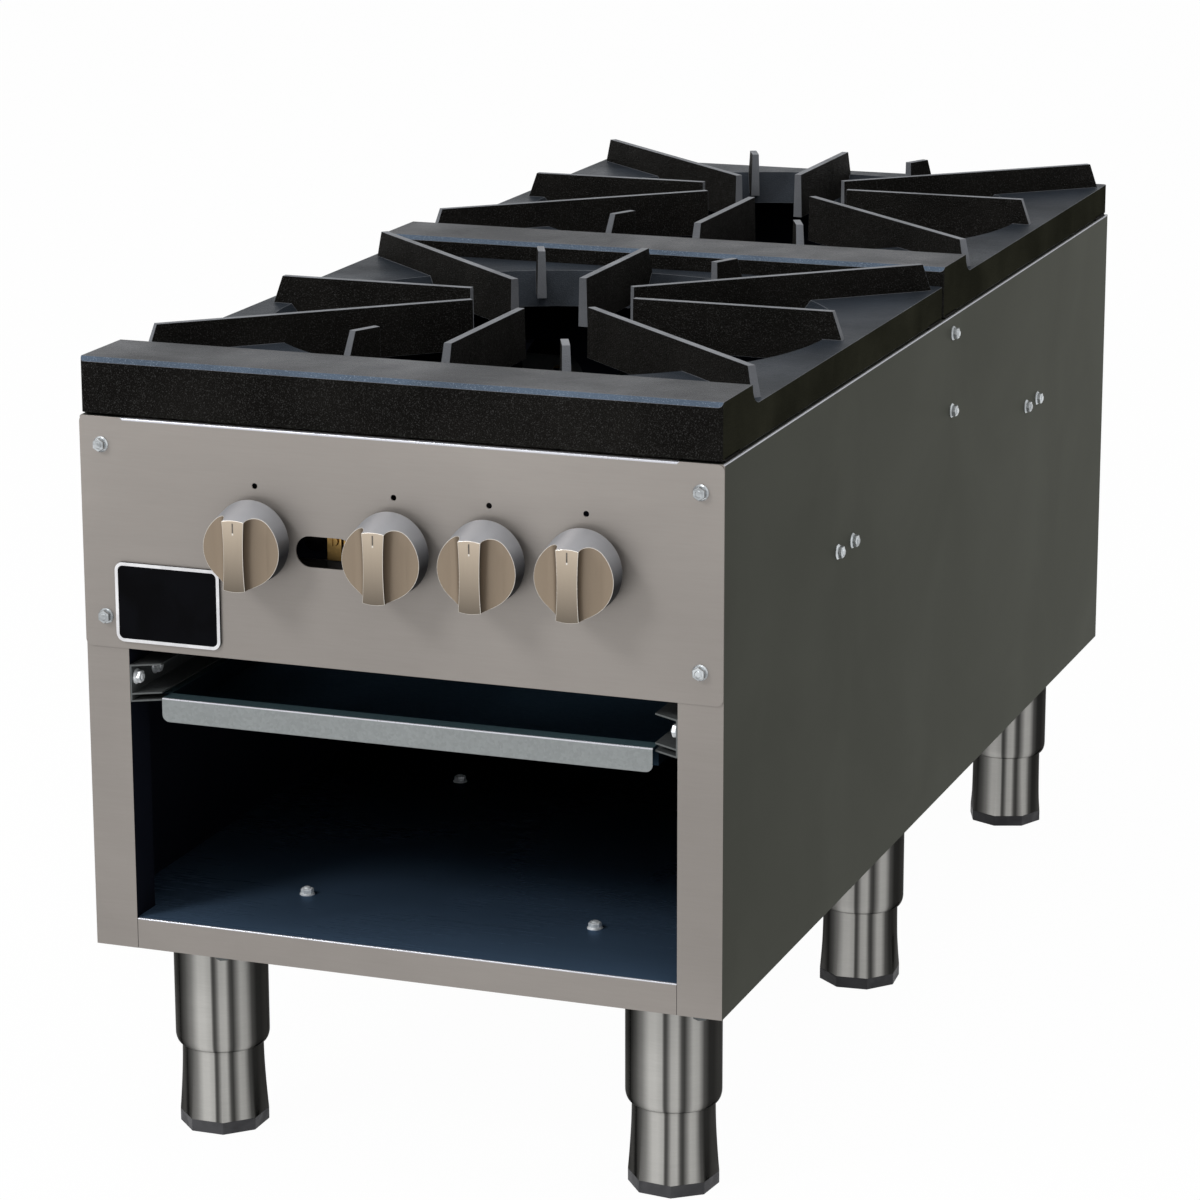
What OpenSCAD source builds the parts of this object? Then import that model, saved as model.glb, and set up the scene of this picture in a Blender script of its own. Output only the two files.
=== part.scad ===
// Stock pot range: two star grates in a row over ring burners, on six adjustable legs.
// Millimetres, +Z up, front towards -Y, origin at the middle of the footprint on the floor.

/* [Body] */
// Width over the side panels
body_w = 457.2; // [445:0.1:600]
// Depth from the control panel's face to the rear panel's face
body_d = 1034; // [980:1:1200]
// Height of the sheet-metal body
body_h = 375; // [360:1:450]
// Height of the legs
leg_h = 150; // [140:1:200]
// Thickness of the sheet metal
sheet_t = 1.2; // [0.8:0.1:1.6]
// Width of each corner post
post_w = 31.4; // [28:0.1:36]
// Depth of the return behind each corner post
return_d = 28; // [20:1:40]
// Height of the control panel
panel_h = 160; // [150:1:175]
// Radius of the control panel's corners
panel_corner_r = 4.5; // [2:0.5:8]
// Depth of the hems of the panels
hem_d = 20; // [12:1:24]
// Height of the storage shelf's lips
lip_h = 22; // [18:1:30]
// Gap between sheets that meet edge to edge
seam = 0.3; // [0.1:0.1:0.5]

/* [Controls] */
// Depth of the knob axes below the body's top
knob_drop = 75.4; // [70:0.1:80]
// Diameter of a knob
knob_d = 56.5; // [50:0.5:62]
// Reach of a knob in front of the control panel
knob_proj = 36; // [30:1:42]
// Gap between a knob and the control panel
knob_gap = 7; // [2:0.5:10]
// Depth of a knob's skirt
skirt_d = 10.5; // [8:0.5:14]
// Width of a knob's grip at its front
grip_w = 14.5; // [10:0.5:18]
// Height of the grip's upper end over the knob's axis
grip_top = 14; // [8:0.5:20]
// Radius of the hollow on each side of the grip
scoop_r = 14; // [8:0.5:20]
// Diameter of a valve stem
stem_d = 8; // [6:0.5:9]
// Diameter of the stem's hole in the control panel
stem_hole_d = 12; // [11:0.5:16]
// Distance between the front burner's two valves
venturi_pitch = 100; // [96:1:104]
// Gap between the knobs of the other valves
valve_gap = 10.9; // [7:0.1:14]
// Diameter of a pin hole above a knob
mark_d = 4; // [2:0.5:6]
// Height of the pin holes above the knob axes
mark_rise = 36; // [34:0.5:44]
// Length of the pilot slot
slot_l = 42; // [38:1:46]
// Height of the pilot slot
slot_h = 21.2; // [18:0.1:24]
// Drop of the pilot slot's middle below the knob axes
slot_drop = 5.6; // [3:0.1:7]
// Height of the plate beside the first knob
plate_h = 55.5; // [45:0.5:60]
// Thickness of that plate
plate_t = 2; // [1.5:0.1:3]
// Corner radius of that plate
plate_r = 6; // [3:0.5:8]
// Width of that plate's raised border
plate_border = 2.4; // [1.5:0.1:4]
// Depth of that plate's recess
plate_recess = 0.5; // [0.3:0.1:1]
// Height of that plate above the control panel's lower edge
plate_lift = 5.2; // [4:0.1:10]
// Gap between that plate and the bolts beside it
plate_gap = 1.8; // [1:0.1:4]
// Distance of that plate from the first knob's axis
plate_axis_gap = 27; // [22:0.5:40]

/* [Grates] */
// Setback of a grate's sides from the body's sides
grate_inset = 1.6; // [0.5:0.1:6]
// Gap between the two grates
grate_gap = 1.5; // [1:0.5:3]
// Height of a grate's front rail
rail_h = 38; // [32:1:42]
// Depth of a grate's front rail
rail_d = 62; // [50:1:66]
// Chamfer along the top of the front rail
rail_chamfer = 4.5; // [3:0.5:6]
// Height of a grate's rim
rim_h = 24; // [20:1:26]
// Height of the fin tops over a grate's underside
fin_h = 44; // [40:1:48]
// Width of the rim at the sides of the round opening
side_rim = 24; // [20:0.5:40]
// Width of the rim behind the round opening
rear_rim = 18; // [14:0.5:40]
// Width of the rim between the round opening and the front rail
front_rim = 29; // [16:0.5:40]
// Narrowing of the round opening towards the underside
bowl_taper = 20; // [10:1:30]
// Radius of the open middle of the star
star_r = 62; // [55:1:70]
// Height of the fins' lower edges over the grate's underside
fin_low = 8; // [5:1:12]
// Thickness of a fin at its top
fin_top_t = 5.5; // [4:0.5:6.5]
// Thickness of a fin at its lower edge
fin_low_t = 7.6; // [6:0.1:9]
// Outward lean of the fins' outer ends
fin_lean = 7; // [4:1:10]
// Gap between the diagonal fins' ends and the grate's sides
diagonal_side_gap = 11.25; // [8:0.25:20]
// Gap between the diagonal fins' ends and the grate's rear
diagonal_rear_gap = 20; // [14:0.5:30]
// Angle between the diagonal fins and the grate's width
diagonal_a = 43; // [41:0.5:45]
// Gap between the side fins' ends and the grate's sides
side_fin_gap = 17; // [14:0.5:30]
// Setback of the front and rear fins' ends from the round opening's edge
long_fin_setback = 5; // [2:0.5:10]
// Setback of the short fins' outer ends from the round opening's edge
stub_setback = 8; // [4:0.5:14]
// Length of the short fins
stub_l = 23; // [15:1:30]
// Angle between the short fins and the grate's width
stub_a = 66.5; // [64:0.5:69]
// Wall of the casting
cast_wall = 8; // [6:0.5:10]
// Height of the grate's seat pads
pad_h = 1.7; // [1:0.1:3]
// Gap under the seat pads
seat_gap = 0.3; // [0.2:0.1:0.5]

/* [Burners] */
// Outer radius of the outer ring
outer_ring_r = 114; // [108:1:118]
// Outer radius of the middle ring
middle_ring_r = 70; // [66:1:76]
// Width of a ring
ring_w = 18; // [15:1:20]
// Radius of the inner burner's head
head_r = 38; // [30:1:42]
// Height of the rings' undersides over the gas axis
ring_low = 6; // [4:1:8]
// Height of the rings' tops over the gas axis
ring_top = 26; // [24:1:30]
// Chamfer of a ring's top
ring_chamfer = 5; // [3:0.5:7]
// Radius of a mixing tube
tube_r = 18; // [16:0.5:19]
// Wall of a mixing tube
tube_wall = 4; // [3:0.5:5]
// Radius of a mixing tube's mouth
mouth_r = 36; // [32:1:38]
// Length of a mixing tube's bell
bell_l = 46; // [36:1:60]
// Distance from the burner's middle to its mouths
mouth_reach = 228.5; // [226:0.5:230]
// Distance of the mouths behind the control panel's face
mouth_back = 66; // [62:0.5:72]
// Height of a burner's feet under its mixing tubes
burner_foot_h = 6.6; // [4:0.2:10]
// Thickness of an air shutter
shutter_t = 1.2; // [1:0.1:2]
// Radius of an air window
window_r = 8; // [6:0.5:9]
// Radius on which the air windows lie
window_pitch_r = 20; // [18:0.5:23]

/* [Gas pipes] */
// Radius of the gas pipe
pipe_r = 13.35; // [12:0.05:14]
// Reach of the gas pipe behind the rear panel
inlet_out = 31; // [20:1:40]
// Outer radius of the thread at the gas pipe's end
thread_r = 13; // [11.5:0.05:13.3]
// Length of that thread
thread_l = 24; // [15:1:28]
// Distance of the gas pipe from the first valve
pipe_side = 68; // [64:1:74]
// Reach of the manifold past the last valve
manifold_end = 37.2; // [30:0.1:45]
// Depth of the manifold's axis below the knob axes
manifold_drop = 33; // [31:0.5:36]
// Distance of the manifold's axis behind the control panel's face
manifold_y = 34; // [32:0.5:38]
// Depth of the supply pipe's axis below the manifold's
riser_drop = 38; // [36:0.5:40]
// Radius of the tubes to the rear burner
gas_tube_r = 5; // [4:0.25:6]
// Radius of the pilot tubes
pilot_tube_r = 3.2; // [2.5:0.1:3.5]

/* [Drip tray] */
// Height of a tray channel's underside over the shelf
channel_rise = 155; // [145:1:160]
// Height of a tray channel
channel_h = 26.2; // [24:0.2:30]
// Width of a tray channel
channel_w = 19; // [15:1:22]
// Height of the groove that holds the tray's rim
groove_h = 3.8; // [3:0.2:5]
// Setback of the tray's front
tray_setback = 9; // [6:1:14]
// Height of the tray's front
tray_front_h = 16.7; // [14:0.1:20]
// Width of the flat rim round the tray
tray_rim_w = 12; // [8:1:16]
// Running gap of the tray's rim
tray_gap = 0.3; // [0.2:0.1:0.6]
// Gap between the tray's rear and the rear panel
tray_rear_gap = 32; // [30:1:60]

/* [Legs] */
// Distance of a leg's axis from the body's side
leg_inset = 59; // [56:1:64]
// Distance of the outer legs' axes from the front and the rear
leg_setback = 75; // [65:1:100]
// Width of a leg rail
leg_rail_w = 106; // [100:1:110]
// Thickness of a leg rail
leg_rail_t = 2; // [1.5:0.1:3]
// Radius of a leg's sleeve
sleeve_r = 33.3; // [32:0.1:37]
// Wall of a leg's sleeve
sleeve_wall = 1.5; // [1:0.1:2]
// Height of a sleeve's lower end over the floor
sleeve_low = 61; // [55:1:66]
// Radius of the rounding at a sleeve's lower end
sleeve_round = 8; // [5:0.5:10]
// Radius of a foot's tube
foot_r = 28.8; // [28:0.1:31]
// Radius over the corners of a foot's end cap
foot_corner_r = 31.6; // [31.2:0.1:33.4]
// Height of a foot's end cap
foot_cap_h = 9; // [7:0.5:12]
// Downward travel of a foot
foot_travel = 25; // [15:1:28]

/* [Fasteners] */
// Diameter of the bolts' shanks
bolt_d = 6; // [5:0.5:6.5]
// Width of the bolts' hex heads over the flats
bolt_af = 10; // [9:0.5:11]
// Height of the bolts' hex heads
bolt_head_h = 4; // [3:0.5:5]
// Radius of the bolts' flanges
bolt_flange_r = 6.5; // [6.2:0.1:7]
// Thickness of the bolts' flanges
bolt_flange_t = 1.4; // [1:0.1:2]
// Gap between a bolt and its hole
bolt_gap = 0.25; // [0.15:0.05:0.4]
// Distance of the side bolts from each other at a burner support
side_bolt_pitch = 35; // [30:1:38]
// Setback of the first shelf bolt
shelf_bolt_setback = 88; // [80:1:110]
// Bolts in each row on the shelf
shelf_bolt_count = 4; // [2:1:5]

/* [Hidden] */
$fn = 48;

// One overrun serves all cuts
over = 1;

// Colours of the finishes
steel = [0.60, 0.58, 0.56];
side_steel = [0.30, 0.31, 0.28];
dark_steel = [0.12, 0.13, 0.17];
iron = [0.06, 0.06, 0.065];
zinc = [0.72, 0.74, 0.76];
galvanized = [0.58, 0.62, 0.65];
nickel = [0.66, 0.61, 0.55];
brass = [0.70, 0.52, 0.24];
enamel = [0.02, 0.02, 0.025];
pipe_black = [0.14, 0.13, 0.13];

// Main planes
front_y = -(body_d + inlet_out - knob_proj) / 2;
rear_y = front_y + body_d;
post_y = front_y + sheet_t;
post_rear_y = rear_y - sheet_t;
side_x = body_w / 2;
skin_x = side_x - sheet_t;
post_x = side_x - post_w;
hem_x = post_x - seam;
body_z = leg_h;
top_z = body_z + body_h;
panel_z = top_z - panel_h;
shelf_z = body_z + lip_h;
shelf_under_z = shelf_z - sheet_t;
gas_z = top_z - knob_drop;

// Fasteners
hex_r = bolt_af / sqrt(3);
bolt_hole_d = bolt_d + 2 * bolt_gap;
nut_h = 5;
bolt_tip = 1.5;
post_bolt_x = side_x - post_w / 2;
panel_bolt_top = 19.2;
panel_bolt_low = 21.6;

// Controls: front outer, front inner, rear outer, rear inner
valve_pitch = knob_d + valve_gap;
knob_xs = [-venturi_pitch, 0, valve_pitch, 2 * valve_pitch];
knob_r = knob_d / 2;
knob_depth = knob_proj - knob_gap;
knob_lean = atan((knob_r - grip_top) / knob_depth) / 2;
knob_apex = knob_d / tan(2 * knob_lean);
scoop_x = grip_w / 2 + scoop_r;
knob_bore_gap = 0.1;
stem_in = 22;
stem_end_gap = 2;
knob_face = 9;
slot_x = -venturi_pitch / 2;
plate_outer_x = post_bolt_x - bolt_flange_r - plate_gap;
plate_inner_x = venturi_pitch + plate_axis_gap;

// Grates
grate_w = body_w - 2 * grate_inset;
grate_l = (body_d - grate_gap) / 2;
grate_pitch = grate_l + grate_gap;
star_y = mouth_back + mouth_reach;
bowl_top_r = min(grate_w / 2 - side_rim, grate_l - star_y - rear_rim, star_y - rail_d - front_rim);
bowl_low_r = bowl_top_r - bowl_taper;
diagonal_r = min((grate_w / 2 - diagonal_side_gap) / cos(diagonal_a),
                 (grate_l - star_y - diagonal_rear_gap) / sin(diagonal_a));
side_fin_r = grate_w / 2 - side_fin_gap;
long_fin_r = bowl_top_r - long_fin_setback;
stub_out_r = bowl_top_r - stub_setback;
stub_in_r = stub_out_r - stub_l;
grate_z = top_z + seat_gap + pad_h;
pad_l = 30;
pad_inset = 6;
corner_r = 3;
fin_bite = 4;
curve_steps = 8;

// Burners: the mixing tubes lie on the gas axis
outer_tube_x = -venturi_pitch;
tube_bore_r = tube_r - tube_wall;
mouth_wall = 3;
mouth_plate_t = 2.4;
mouth_lip = 6;
arm_w = 16;
arm_drop = 4;
saddle_gap = 1.5;
support_z = gas_z - tube_r - burner_foot_h;
support_w = 50;
support_back = 27.5;
outer_foot_x = sqrt(pow(outer_ring_r - ring_w / 2, 2) - pow(support_back, 2));
tube_end_chamfer = 6;
support_tab = 27;
support_lip = 15;
burner_foot_r = 8;
window_count = 4;
shutter_gap = 0.3;
shutter_rim = 1.6;
tab_w = 8;
tab_l = 7;

// Gas works, measured from the control panel's face
valve_r = 12;
bonnet_y = 10;
bonnet_w = 27;
bonnet_t = 3;
valve_back = 48;
outlet_r = 7;
outlet_back = 53;
boss_r = 10;
boss_rise = 4;
inlet_r = 8;
inlet_hex_h = 7;
hood_hex_back = 60;
hood_r = 7;
hood_back = 68;
hood_tip_r = 4;
hood_tip_back = 75;
hood_gap = 0.3;
hood_hole_r = hood_r + hood_gap;
pipe_x = venturi_pitch + pipe_side;
manifold_x = 2 * valve_pitch + manifold_end;
manifold_z = gas_z - manifold_drop;
boss_z = manifold_z + pipe_r + boss_rise;
supply_z = manifold_z - riser_drop;
elbow_r = 16;
elbow_band_r = 18;
elbow_reach = 24;
elbow_band = 9;
socket_d = 13;
pipe_gap = 0.1;
pipe_hole_gap = 1.5;
cap_l = 14;
bracket_t = 2;
bracket_d = 50;
bracket_low = 22;
bracket_high = 22;
bracket_foot = 20;
bracket_xs = [-(venturi_pitch + 36), (3 * valve_pitch - bracket_foot) / 2];
tube_bend_r = 18;
tube_nut_r = 8;
tube_nut_l = 7;
inner_tube_back = 8;
outer_tube_back = 3;
outer_run_x = 172;
inner_run_x = 150;
outer_run_y = 79;
inner_run_y = 93;

// Divider and the bracket of the rear hoods
divider_back = 11.3;
divider_y = front_y + grate_pitch + divider_back;
divider_flange = 24;
divider_rise = 14;
divider_hole_r = 38;
divider_bolt_drops = [13.5, 73];
pipe_notch_r = pipe_r + pipe_hole_gap;
hood_bracket_x = 34;
hood_bracket_drop = 40;
hood_bracket_foot = 22;
hood_bracket_rise = 16;

// Pilots
pilot_x = -46;
pilot_pitch = 12;
pilot_w = 10.5;
pilot_y = 20;
pilot_l = 24;
pilot_h = 26;
pilot_tube_drop = 12;
pilot_screw_r = 3.2;
pilot_screw_out = 2;
pilot_screw_in = 8;
pilot_screw_drop = 2;
pilot_slot_w = 1;
pilot_slot_d = 1.2;
pilot_bend_r = 10;
pilot_stand = 9;
pilot_head_r = 5;
pilot_head_h = 12;
pilot_head_drop = 4;

// Drip tray
channel_z = shelf_z + channel_rise;
ledge_z = channel_z + sheet_t + groove_h;
rim_z = channel_z + sheet_t + tray_gap;
channel_in_x = post_x - channel_w;
web_x = post_x - sheet_t;
tray_rim_x = web_x - 2.5;
tray_x = channel_in_x - 1;
tray_corner_r = 5;
tray_pan_z = rim_z + sheet_t - tray_front_h + 1.5;
tray_depth_y = body_d - tray_setback - tray_rear_gap;
tray_wall_y = tray_depth_y - tray_rim_w;
tray_wall_z = tray_pan_z + sheet_t;
tray_side_y = tray_rim_w + sheet_t + seam;
channel_chamfer = 10;
channel_bolt_rise = 16.4;
channel_bolt_ys = [9, 38];

// Legs
leg_rows = [leg_setback, body_d / 2, body_d - leg_setback];
leg_x = side_x - leg_inset;
rail_inner_x = leg_x - leg_rail_w / 2;
rail_outer_x = leg_x + leg_rail_w / 2;
rail_brim = 18;
rail_end_gap = 6;
rail_z = body_z - leg_rail_t;
leg_plate_t = 3;
stud_r = 8;
stud_rise = 14;
stud_nut_r = 13;
stud_nut_h = 8;
foot_gap = 0.3;
foot_wall = 1.5;
foot_facet_r = foot_r - 0.2;
collar_h = 18;
collar_low = sleeve_low + sleeve_round + foot_travel + 2;
foot_turn = 22.5;
sleeve_in_r = sleeve_r - sleeve_wall;
sleeve_mouth_r = foot_r + foot_gap;
sleeve_arc_steps = 6;

// Placing helpers

module slab(x0, x1, y0, y1, z0, z1)
  translate([x0, y0, z0]) cube([x1 - x0, y1 - y0, z1 - z0]);

module both_sides() {
  children();
  mirror([1, 0, 0]) children();
}

// A cylinder along +Y from y0 to y1
module rod_y(x, y0, y1, z, r, sides = $fn)
  translate([x, y0, z]) rotate([-90, 0, 0]) cylinder(r = r, h = y1 - y0, $fn = sides);

// A cylinder along +X from x0 to x1
module rod_x(x0, x1, y, z, r, sides = $fn)
  translate([x0, y, z]) rotate([0, 90, 0]) cylinder(r = r, h = x1 - x0, $fn = sides);

// A flat outline with round corners, its middle at the origin
module rounded(w, h, r) {
  square([w - 2 * r, h], center = true);
  square([w, h - 2 * r], center = true);
  for (x = [-1, 1], y = [-1, 1]) translate([x * (w / 2 - r), y * (h / 2 - r)]) circle(r);
}

// Stands a flat outline up in the XZ plane and gives it a thickness behind y
module upright(y, t)
  translate([0, y + t, 0]) rotate([90, 0, 0]) linear_extrude(t) children();

// A flange bolt along +Z whose head bears on z = 0, with its nut under a stack of sheets
module flange_bolt(stack) {
  cylinder(r = bolt_flange_r, h = bolt_flange_t);
  cylinder(r = hex_r, h = bolt_flange_t + bolt_head_h, $fn = 6);
  translate([0, 0, -stack - nut_h - bolt_tip]) cylinder(d = bolt_d, h = stack + nut_h + bolt_tip);
  translate([0, 0, -stack - nut_h]) cylinder(r = hex_r, h = nut_h, $fn = 6);
}

module bolt_hole()
  cylinder(d = bolt_hole_d, h = 2 * (return_d + over), center = true);

// Bolt places

module at_panel_bolts()
  for (x = [-1, 1], z = [panel_z + panel_bolt_low, top_z - panel_bolt_top])
    translate([x * post_bolt_x, front_y, z]) rotate([90, 0, 0]) children();

module at_side_bolts() {
  for (b = [0, 1], s = [-1, 1])
    translate([side_x, support_y(b) + s * side_bolt_pitch / 2, support_z - support_lip])
      rotate([0, 90, 0]) children();
  for (drop = divider_bolt_drops)
    translate([side_x, divider_y + divider_flange / 2, top_z - drop]) rotate([0, 90, 0]) children();
}

module at_channel_bolts() {
  for (y = channel_bolt_ys)
    translate([web_x, front_y + y, channel_z + channel_bolt_rise]) rotate([0, -90, 0]) children();
  translate([web_x, rear_y - channel_bolt_ys[0] - sheet_t, channel_z + channel_bolt_rise])
    rotate([0, -90, 0]) children();
}

module at_shelf_bolts()
  for (i = [0 : shelf_bolt_count - 1])
    translate([rail_inner_x - rail_brim / 2,
               front_y + shelf_bolt_setback
               + i * (body_d - 2 * shelf_bolt_setback) / (shelf_bolt_count - 1), shelf_z])
      children();

module at_rear_screws()
  for (z = [shelf_z + panel_bolt_low, (shelf_z + top_z) / 2, top_z - panel_bolt_low])
    translate([post_bolt_x, rear_y, z]) rotate([-90, 0, 0]) children();

module at_legs()
  for (y = leg_rows) translate([leg_x, front_y + y, 0]) children();

function burner_y(b) = front_y + star_y + b * grate_pitch;
function support_y(b) = burner_y(b) - support_back;
function works_y(b) = front_y + b * grate_pitch;

// Sheet metal

// The right side panel: skin, two posts with their returns, and the top flange
module side_panel() {
  difference() {
    union() {
      slab(skin_x, side_x, post_y, post_rear_y, body_z, top_z);
      slab(post_x, side_x, post_y, post_y + sheet_t, body_z, top_z);
      slab(post_x, side_x, post_rear_y - sheet_t, post_rear_y, body_z, top_z);
      slab(post_x, post_x + sheet_t, post_y, post_y + return_d, shelf_z, top_z);
      slab(post_x, post_x + sheet_t, post_rear_y - return_d, post_rear_y, shelf_z, top_z);
      slab(post_x, side_x, post_y, post_rear_y, top_z - sheet_t, top_z);
    }
    at_panel_bolts() bolt_hole();
    at_side_bolts() cylinder(d = bolt_hole_d, h = 2 * (sheet_t + over), center = true);
    at_channel_bolts() cylinder(d = bolt_hole_d, h = 2 * (2 * sheet_t + over), center = true);
    at_rear_screws() bolt_hole();
  }
}

module left_side_panel() color(side_steel) mirror([1, 0, 0]) side_panel();
module right_side_panel() color(side_steel) side_panel();

module rear_panel() color(side_steel)
  difference() {
    union() {
      slab(-side_x, side_x, post_rear_y, rear_y, body_z, top_z);
      slab(-hem_x, hem_x, rear_y - hem_d, rear_y, top_z - sheet_t, top_z);
    }
    both_sides() at_rear_screws() bolt_hole();
    rod_y(-pipe_x, post_rear_y - over, rear_y + over, supply_z, pipe_notch_r);
  }

// The shelf is a pan turned over: its lips point down
module bottom_shelf() color(steel)
  difference() {
    union() {
      slab(-skin_x, skin_x, post_y + sheet_t, post_rear_y - sheet_t, shelf_under_z, shelf_z);
      slab(-hem_x, hem_x, post_y, post_y + 2 * sheet_t, shelf_under_z, shelf_z);
      slab(-hem_x, hem_x, post_y, post_y + sheet_t, body_z, shelf_z);
      slab(-skin_x, skin_x, post_rear_y - 2 * sheet_t, post_rear_y - sheet_t, body_z, shelf_z);
      both_sides() slab(skin_x - sheet_t, skin_x, post_y + sheet_t, post_rear_y - sheet_t, body_z, shelf_z);
    }
    both_sides() at_shelf_bolts() cylinder(d = bolt_hole_d, h = 2 * lip_h, center = true);
  }

module control_panel() color(steel)
  difference() {
    union() {
      upright(front_y, sheet_t)
        translate([0, panel_z + panel_h / 2]) rounded(body_w, panel_h, panel_corner_r);
      slab(-hem_x, hem_x, front_y, front_y + hem_d, top_z - sheet_t, top_z);
      slab(-hem_x, hem_x, front_y, front_y + hem_d / 2, panel_z, panel_z + sheet_t);
    }
    at_panel_bolts() bolt_hole();
    for (x = knob_xs) {
      rod_y(x, front_y - over, front_y + sheet_t + over, gas_z, stem_hole_d / 2);
      rod_y(x, front_y - over, front_y + sheet_t + over, gas_z + mark_rise, mark_d / 2);
    }
    upright(front_y - over, sheet_t + 2 * over)
      translate([slot_x, gas_z - slot_drop]) rounded(slot_l, slot_h, slot_h / 2 - seam);
  }

// A bare plate with a raised border, stuck to the control panel
module blank_plate() color(enamel)
  translate([-(plate_outer_x + plate_inner_x) / 2, 0, panel_z + plate_lift + plate_h / 2])
    difference() {
      upright(front_y - plate_t, plate_t) rounded(plate_outer_x - plate_inner_x, plate_h, plate_r);
      upright(front_y - plate_t - over, over + plate_recess)
        rounded(plate_outer_x - plate_inner_x - 2 * plate_border, plate_h - 2 * plate_border,
                plate_r - plate_border);
    }

// The divider between the two burner bays, its flanges turned to the rear
module middle_divider() color(dark_steel)
  difference() {
    union() {
      slab(-skin_x, skin_x, divider_y, divider_y + sheet_t, panel_z + divider_rise, top_z - sheet_t);
      both_sides() slab(skin_x - sheet_t, skin_x, divider_y, divider_y + divider_flange,
                        panel_z + divider_rise, top_z - sheet_t);
      slab(-hem_x, hem_x, divider_y, divider_y + divider_flange, top_z - 2 * sheet_t, top_z - sheet_t);
    }
    for (x = [outer_tube_x, 0])
      rod_y(x, divider_y - over, divider_y + sheet_t + over, gas_z, divider_hole_r);
    rod_y(pilot_x - pilot_pitch / 2, divider_y - over, divider_y + sheet_t + over,
          gas_z - pilot_tube_drop, pilot_tube_r + seam);
    rod_y(-pipe_x, divider_y - over, divider_y + sheet_t + over, supply_z, pipe_notch_r);
    slab(-pipe_x - pipe_notch_r, -pipe_x + pipe_notch_r, divider_y - over, divider_y + sheet_t + over,
         panel_z, supply_z);
    both_sides() at_side_bolts() bolt_hole();
  }

module burner_support(b) color(dark_steel)
  difference() {
    union() {
      slab(-skin_x, skin_x, support_y(b) - support_w / 2, support_y(b) + support_w / 2,
           support_z - sheet_t, support_z);
      for (s = [0, 1])
        slab(-skin_x, skin_x, support_y(b) - support_w / 2 + s * (support_w - sheet_t),
             support_y(b) - support_w / 2 + s * (support_w - sheet_t) + sheet_t,
             support_z - support_lip, support_z);
      both_sides() slab(skin_x - sheet_t, skin_x, support_y(b) - support_w / 2,
                        support_y(b) + support_w / 2, support_z - support_tab, support_z);
    }
    both_sides() at_side_bolts() bolt_hole();
  }

module front_burner_support() burner_support(0);
module rear_burner_support() burner_support(1);

// Drip tray and its channels

// The outline of a channel's flange with its front corner cut off
module channel_flange(z)
  translate([0, 0, z]) linear_extrude(sheet_t)
    polygon([[post_x, post_y + seam], [web_x, post_y + seam],
             [channel_in_x, post_y + seam + channel_chamfer], [channel_in_x, post_rear_y - seam],
             [post_x, post_rear_y - seam]]);

module tray_channel() color(galvanized)
  difference() {
    union() {
      channel_flange(channel_z);
      channel_flange(ledge_z);
      channel_flange(channel_z + channel_h - sheet_t);
      slab(web_x, post_x, post_y + seam, post_rear_y - seam, channel_z, channel_z + channel_h);
    }
    at_channel_bolts() cylinder(d = bolt_hole_d, h = 2 * (sheet_t + over), center = true);
  }

module left_tray_channel() mirror([1, 0, 0]) tray_channel();
module right_tray_channel() tray_channel();

// The tray's flat floor
module drip_tray() color(galvanized)
  translate([0, front_y + tray_setback, 0])
    slab(-tray_x, tray_x, tray_rim_w, tray_wall_y, tray_pan_z, tray_wall_z);

// The four walls folded up from the floor's edges
module drip_tray_walls() color(galvanized)
  translate([0, front_y + tray_setback, 0]) {
    for (y = [tray_rim_w, tray_wall_y - sheet_t])
      slab(-tray_x, tray_x, y, y + sheet_t, tray_wall_z, rim_z);
    both_sides()
      slab(tray_x - sheet_t, tray_x, tray_side_y, tray_wall_y - sheet_t - seam, tray_wall_z, rim_z);
  }

// The flat rim that slides in the channels, with the front folded down from it
module drip_tray_rim() color(galvanized)
  translate([0, front_y + tray_setback, 0]) {
    both_sides()
      slab(tray_x - sheet_t, tray_rim_x, tray_side_y, tray_wall_y - sheet_t - seam, rim_z, rim_z + sheet_t);
    slab(-tray_rim_x, tray_rim_x, tray_wall_y - sheet_t, tray_depth_y, rim_z, rim_z + sheet_t);
    slab(-tray_x, tray_x, 0, tray_rim_w + sheet_t, rim_z, rim_z + sheet_t);
    upright(0, sheet_t)
      translate([0, rim_z + sheet_t - tray_front_h / 2])
        difference() {
          square([2 * tray_x, tray_front_h], center = true);
          for (s = [-1, 1]) translate([s * tray_x, -tray_front_h / 2])
            difference() {
              square(2 * tray_corner_r, center = true);
              translate([-s * tray_corner_r, tray_corner_r]) circle(tray_corner_r);
            }
        }
  }

// Legs

// A channel with a brim, open at the top, that carries the shelf on the three legs of a side
module leg_rail() color(dark_steel)
  difference() {
    union() {
      slab(rail_inner_x, rail_outer_x, post_y + rail_end_gap, post_rear_y - rail_end_gap, rail_z, body_z);
      slab(rail_inner_x, rail_inner_x + leg_rail_t, post_y + rail_end_gap, post_rear_y - rail_end_gap,
           rail_z, shelf_under_z);
      slab(rail_outer_x - leg_rail_t, rail_outer_x, post_y + rail_end_gap, post_rear_y - rail_end_gap,
           rail_z, shelf_under_z);
      slab(rail_inner_x - rail_brim, rail_inner_x + leg_rail_t, post_y + rail_end_gap,
           post_rear_y - rail_end_gap, shelf_under_z - leg_rail_t, shelf_under_z);
    }
    at_legs() translate([0, 0, rail_z - over]) cylinder(r = stud_r + bolt_gap, h = leg_rail_t + 2 * over);
    at_shelf_bolts() cylinder(d = bolt_hole_d, h = 2 * lip_h, center = true);
  }

module left_leg_rail() mirror([1, 0, 0]) leg_rail();
module right_leg_rail() leg_rail();

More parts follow.
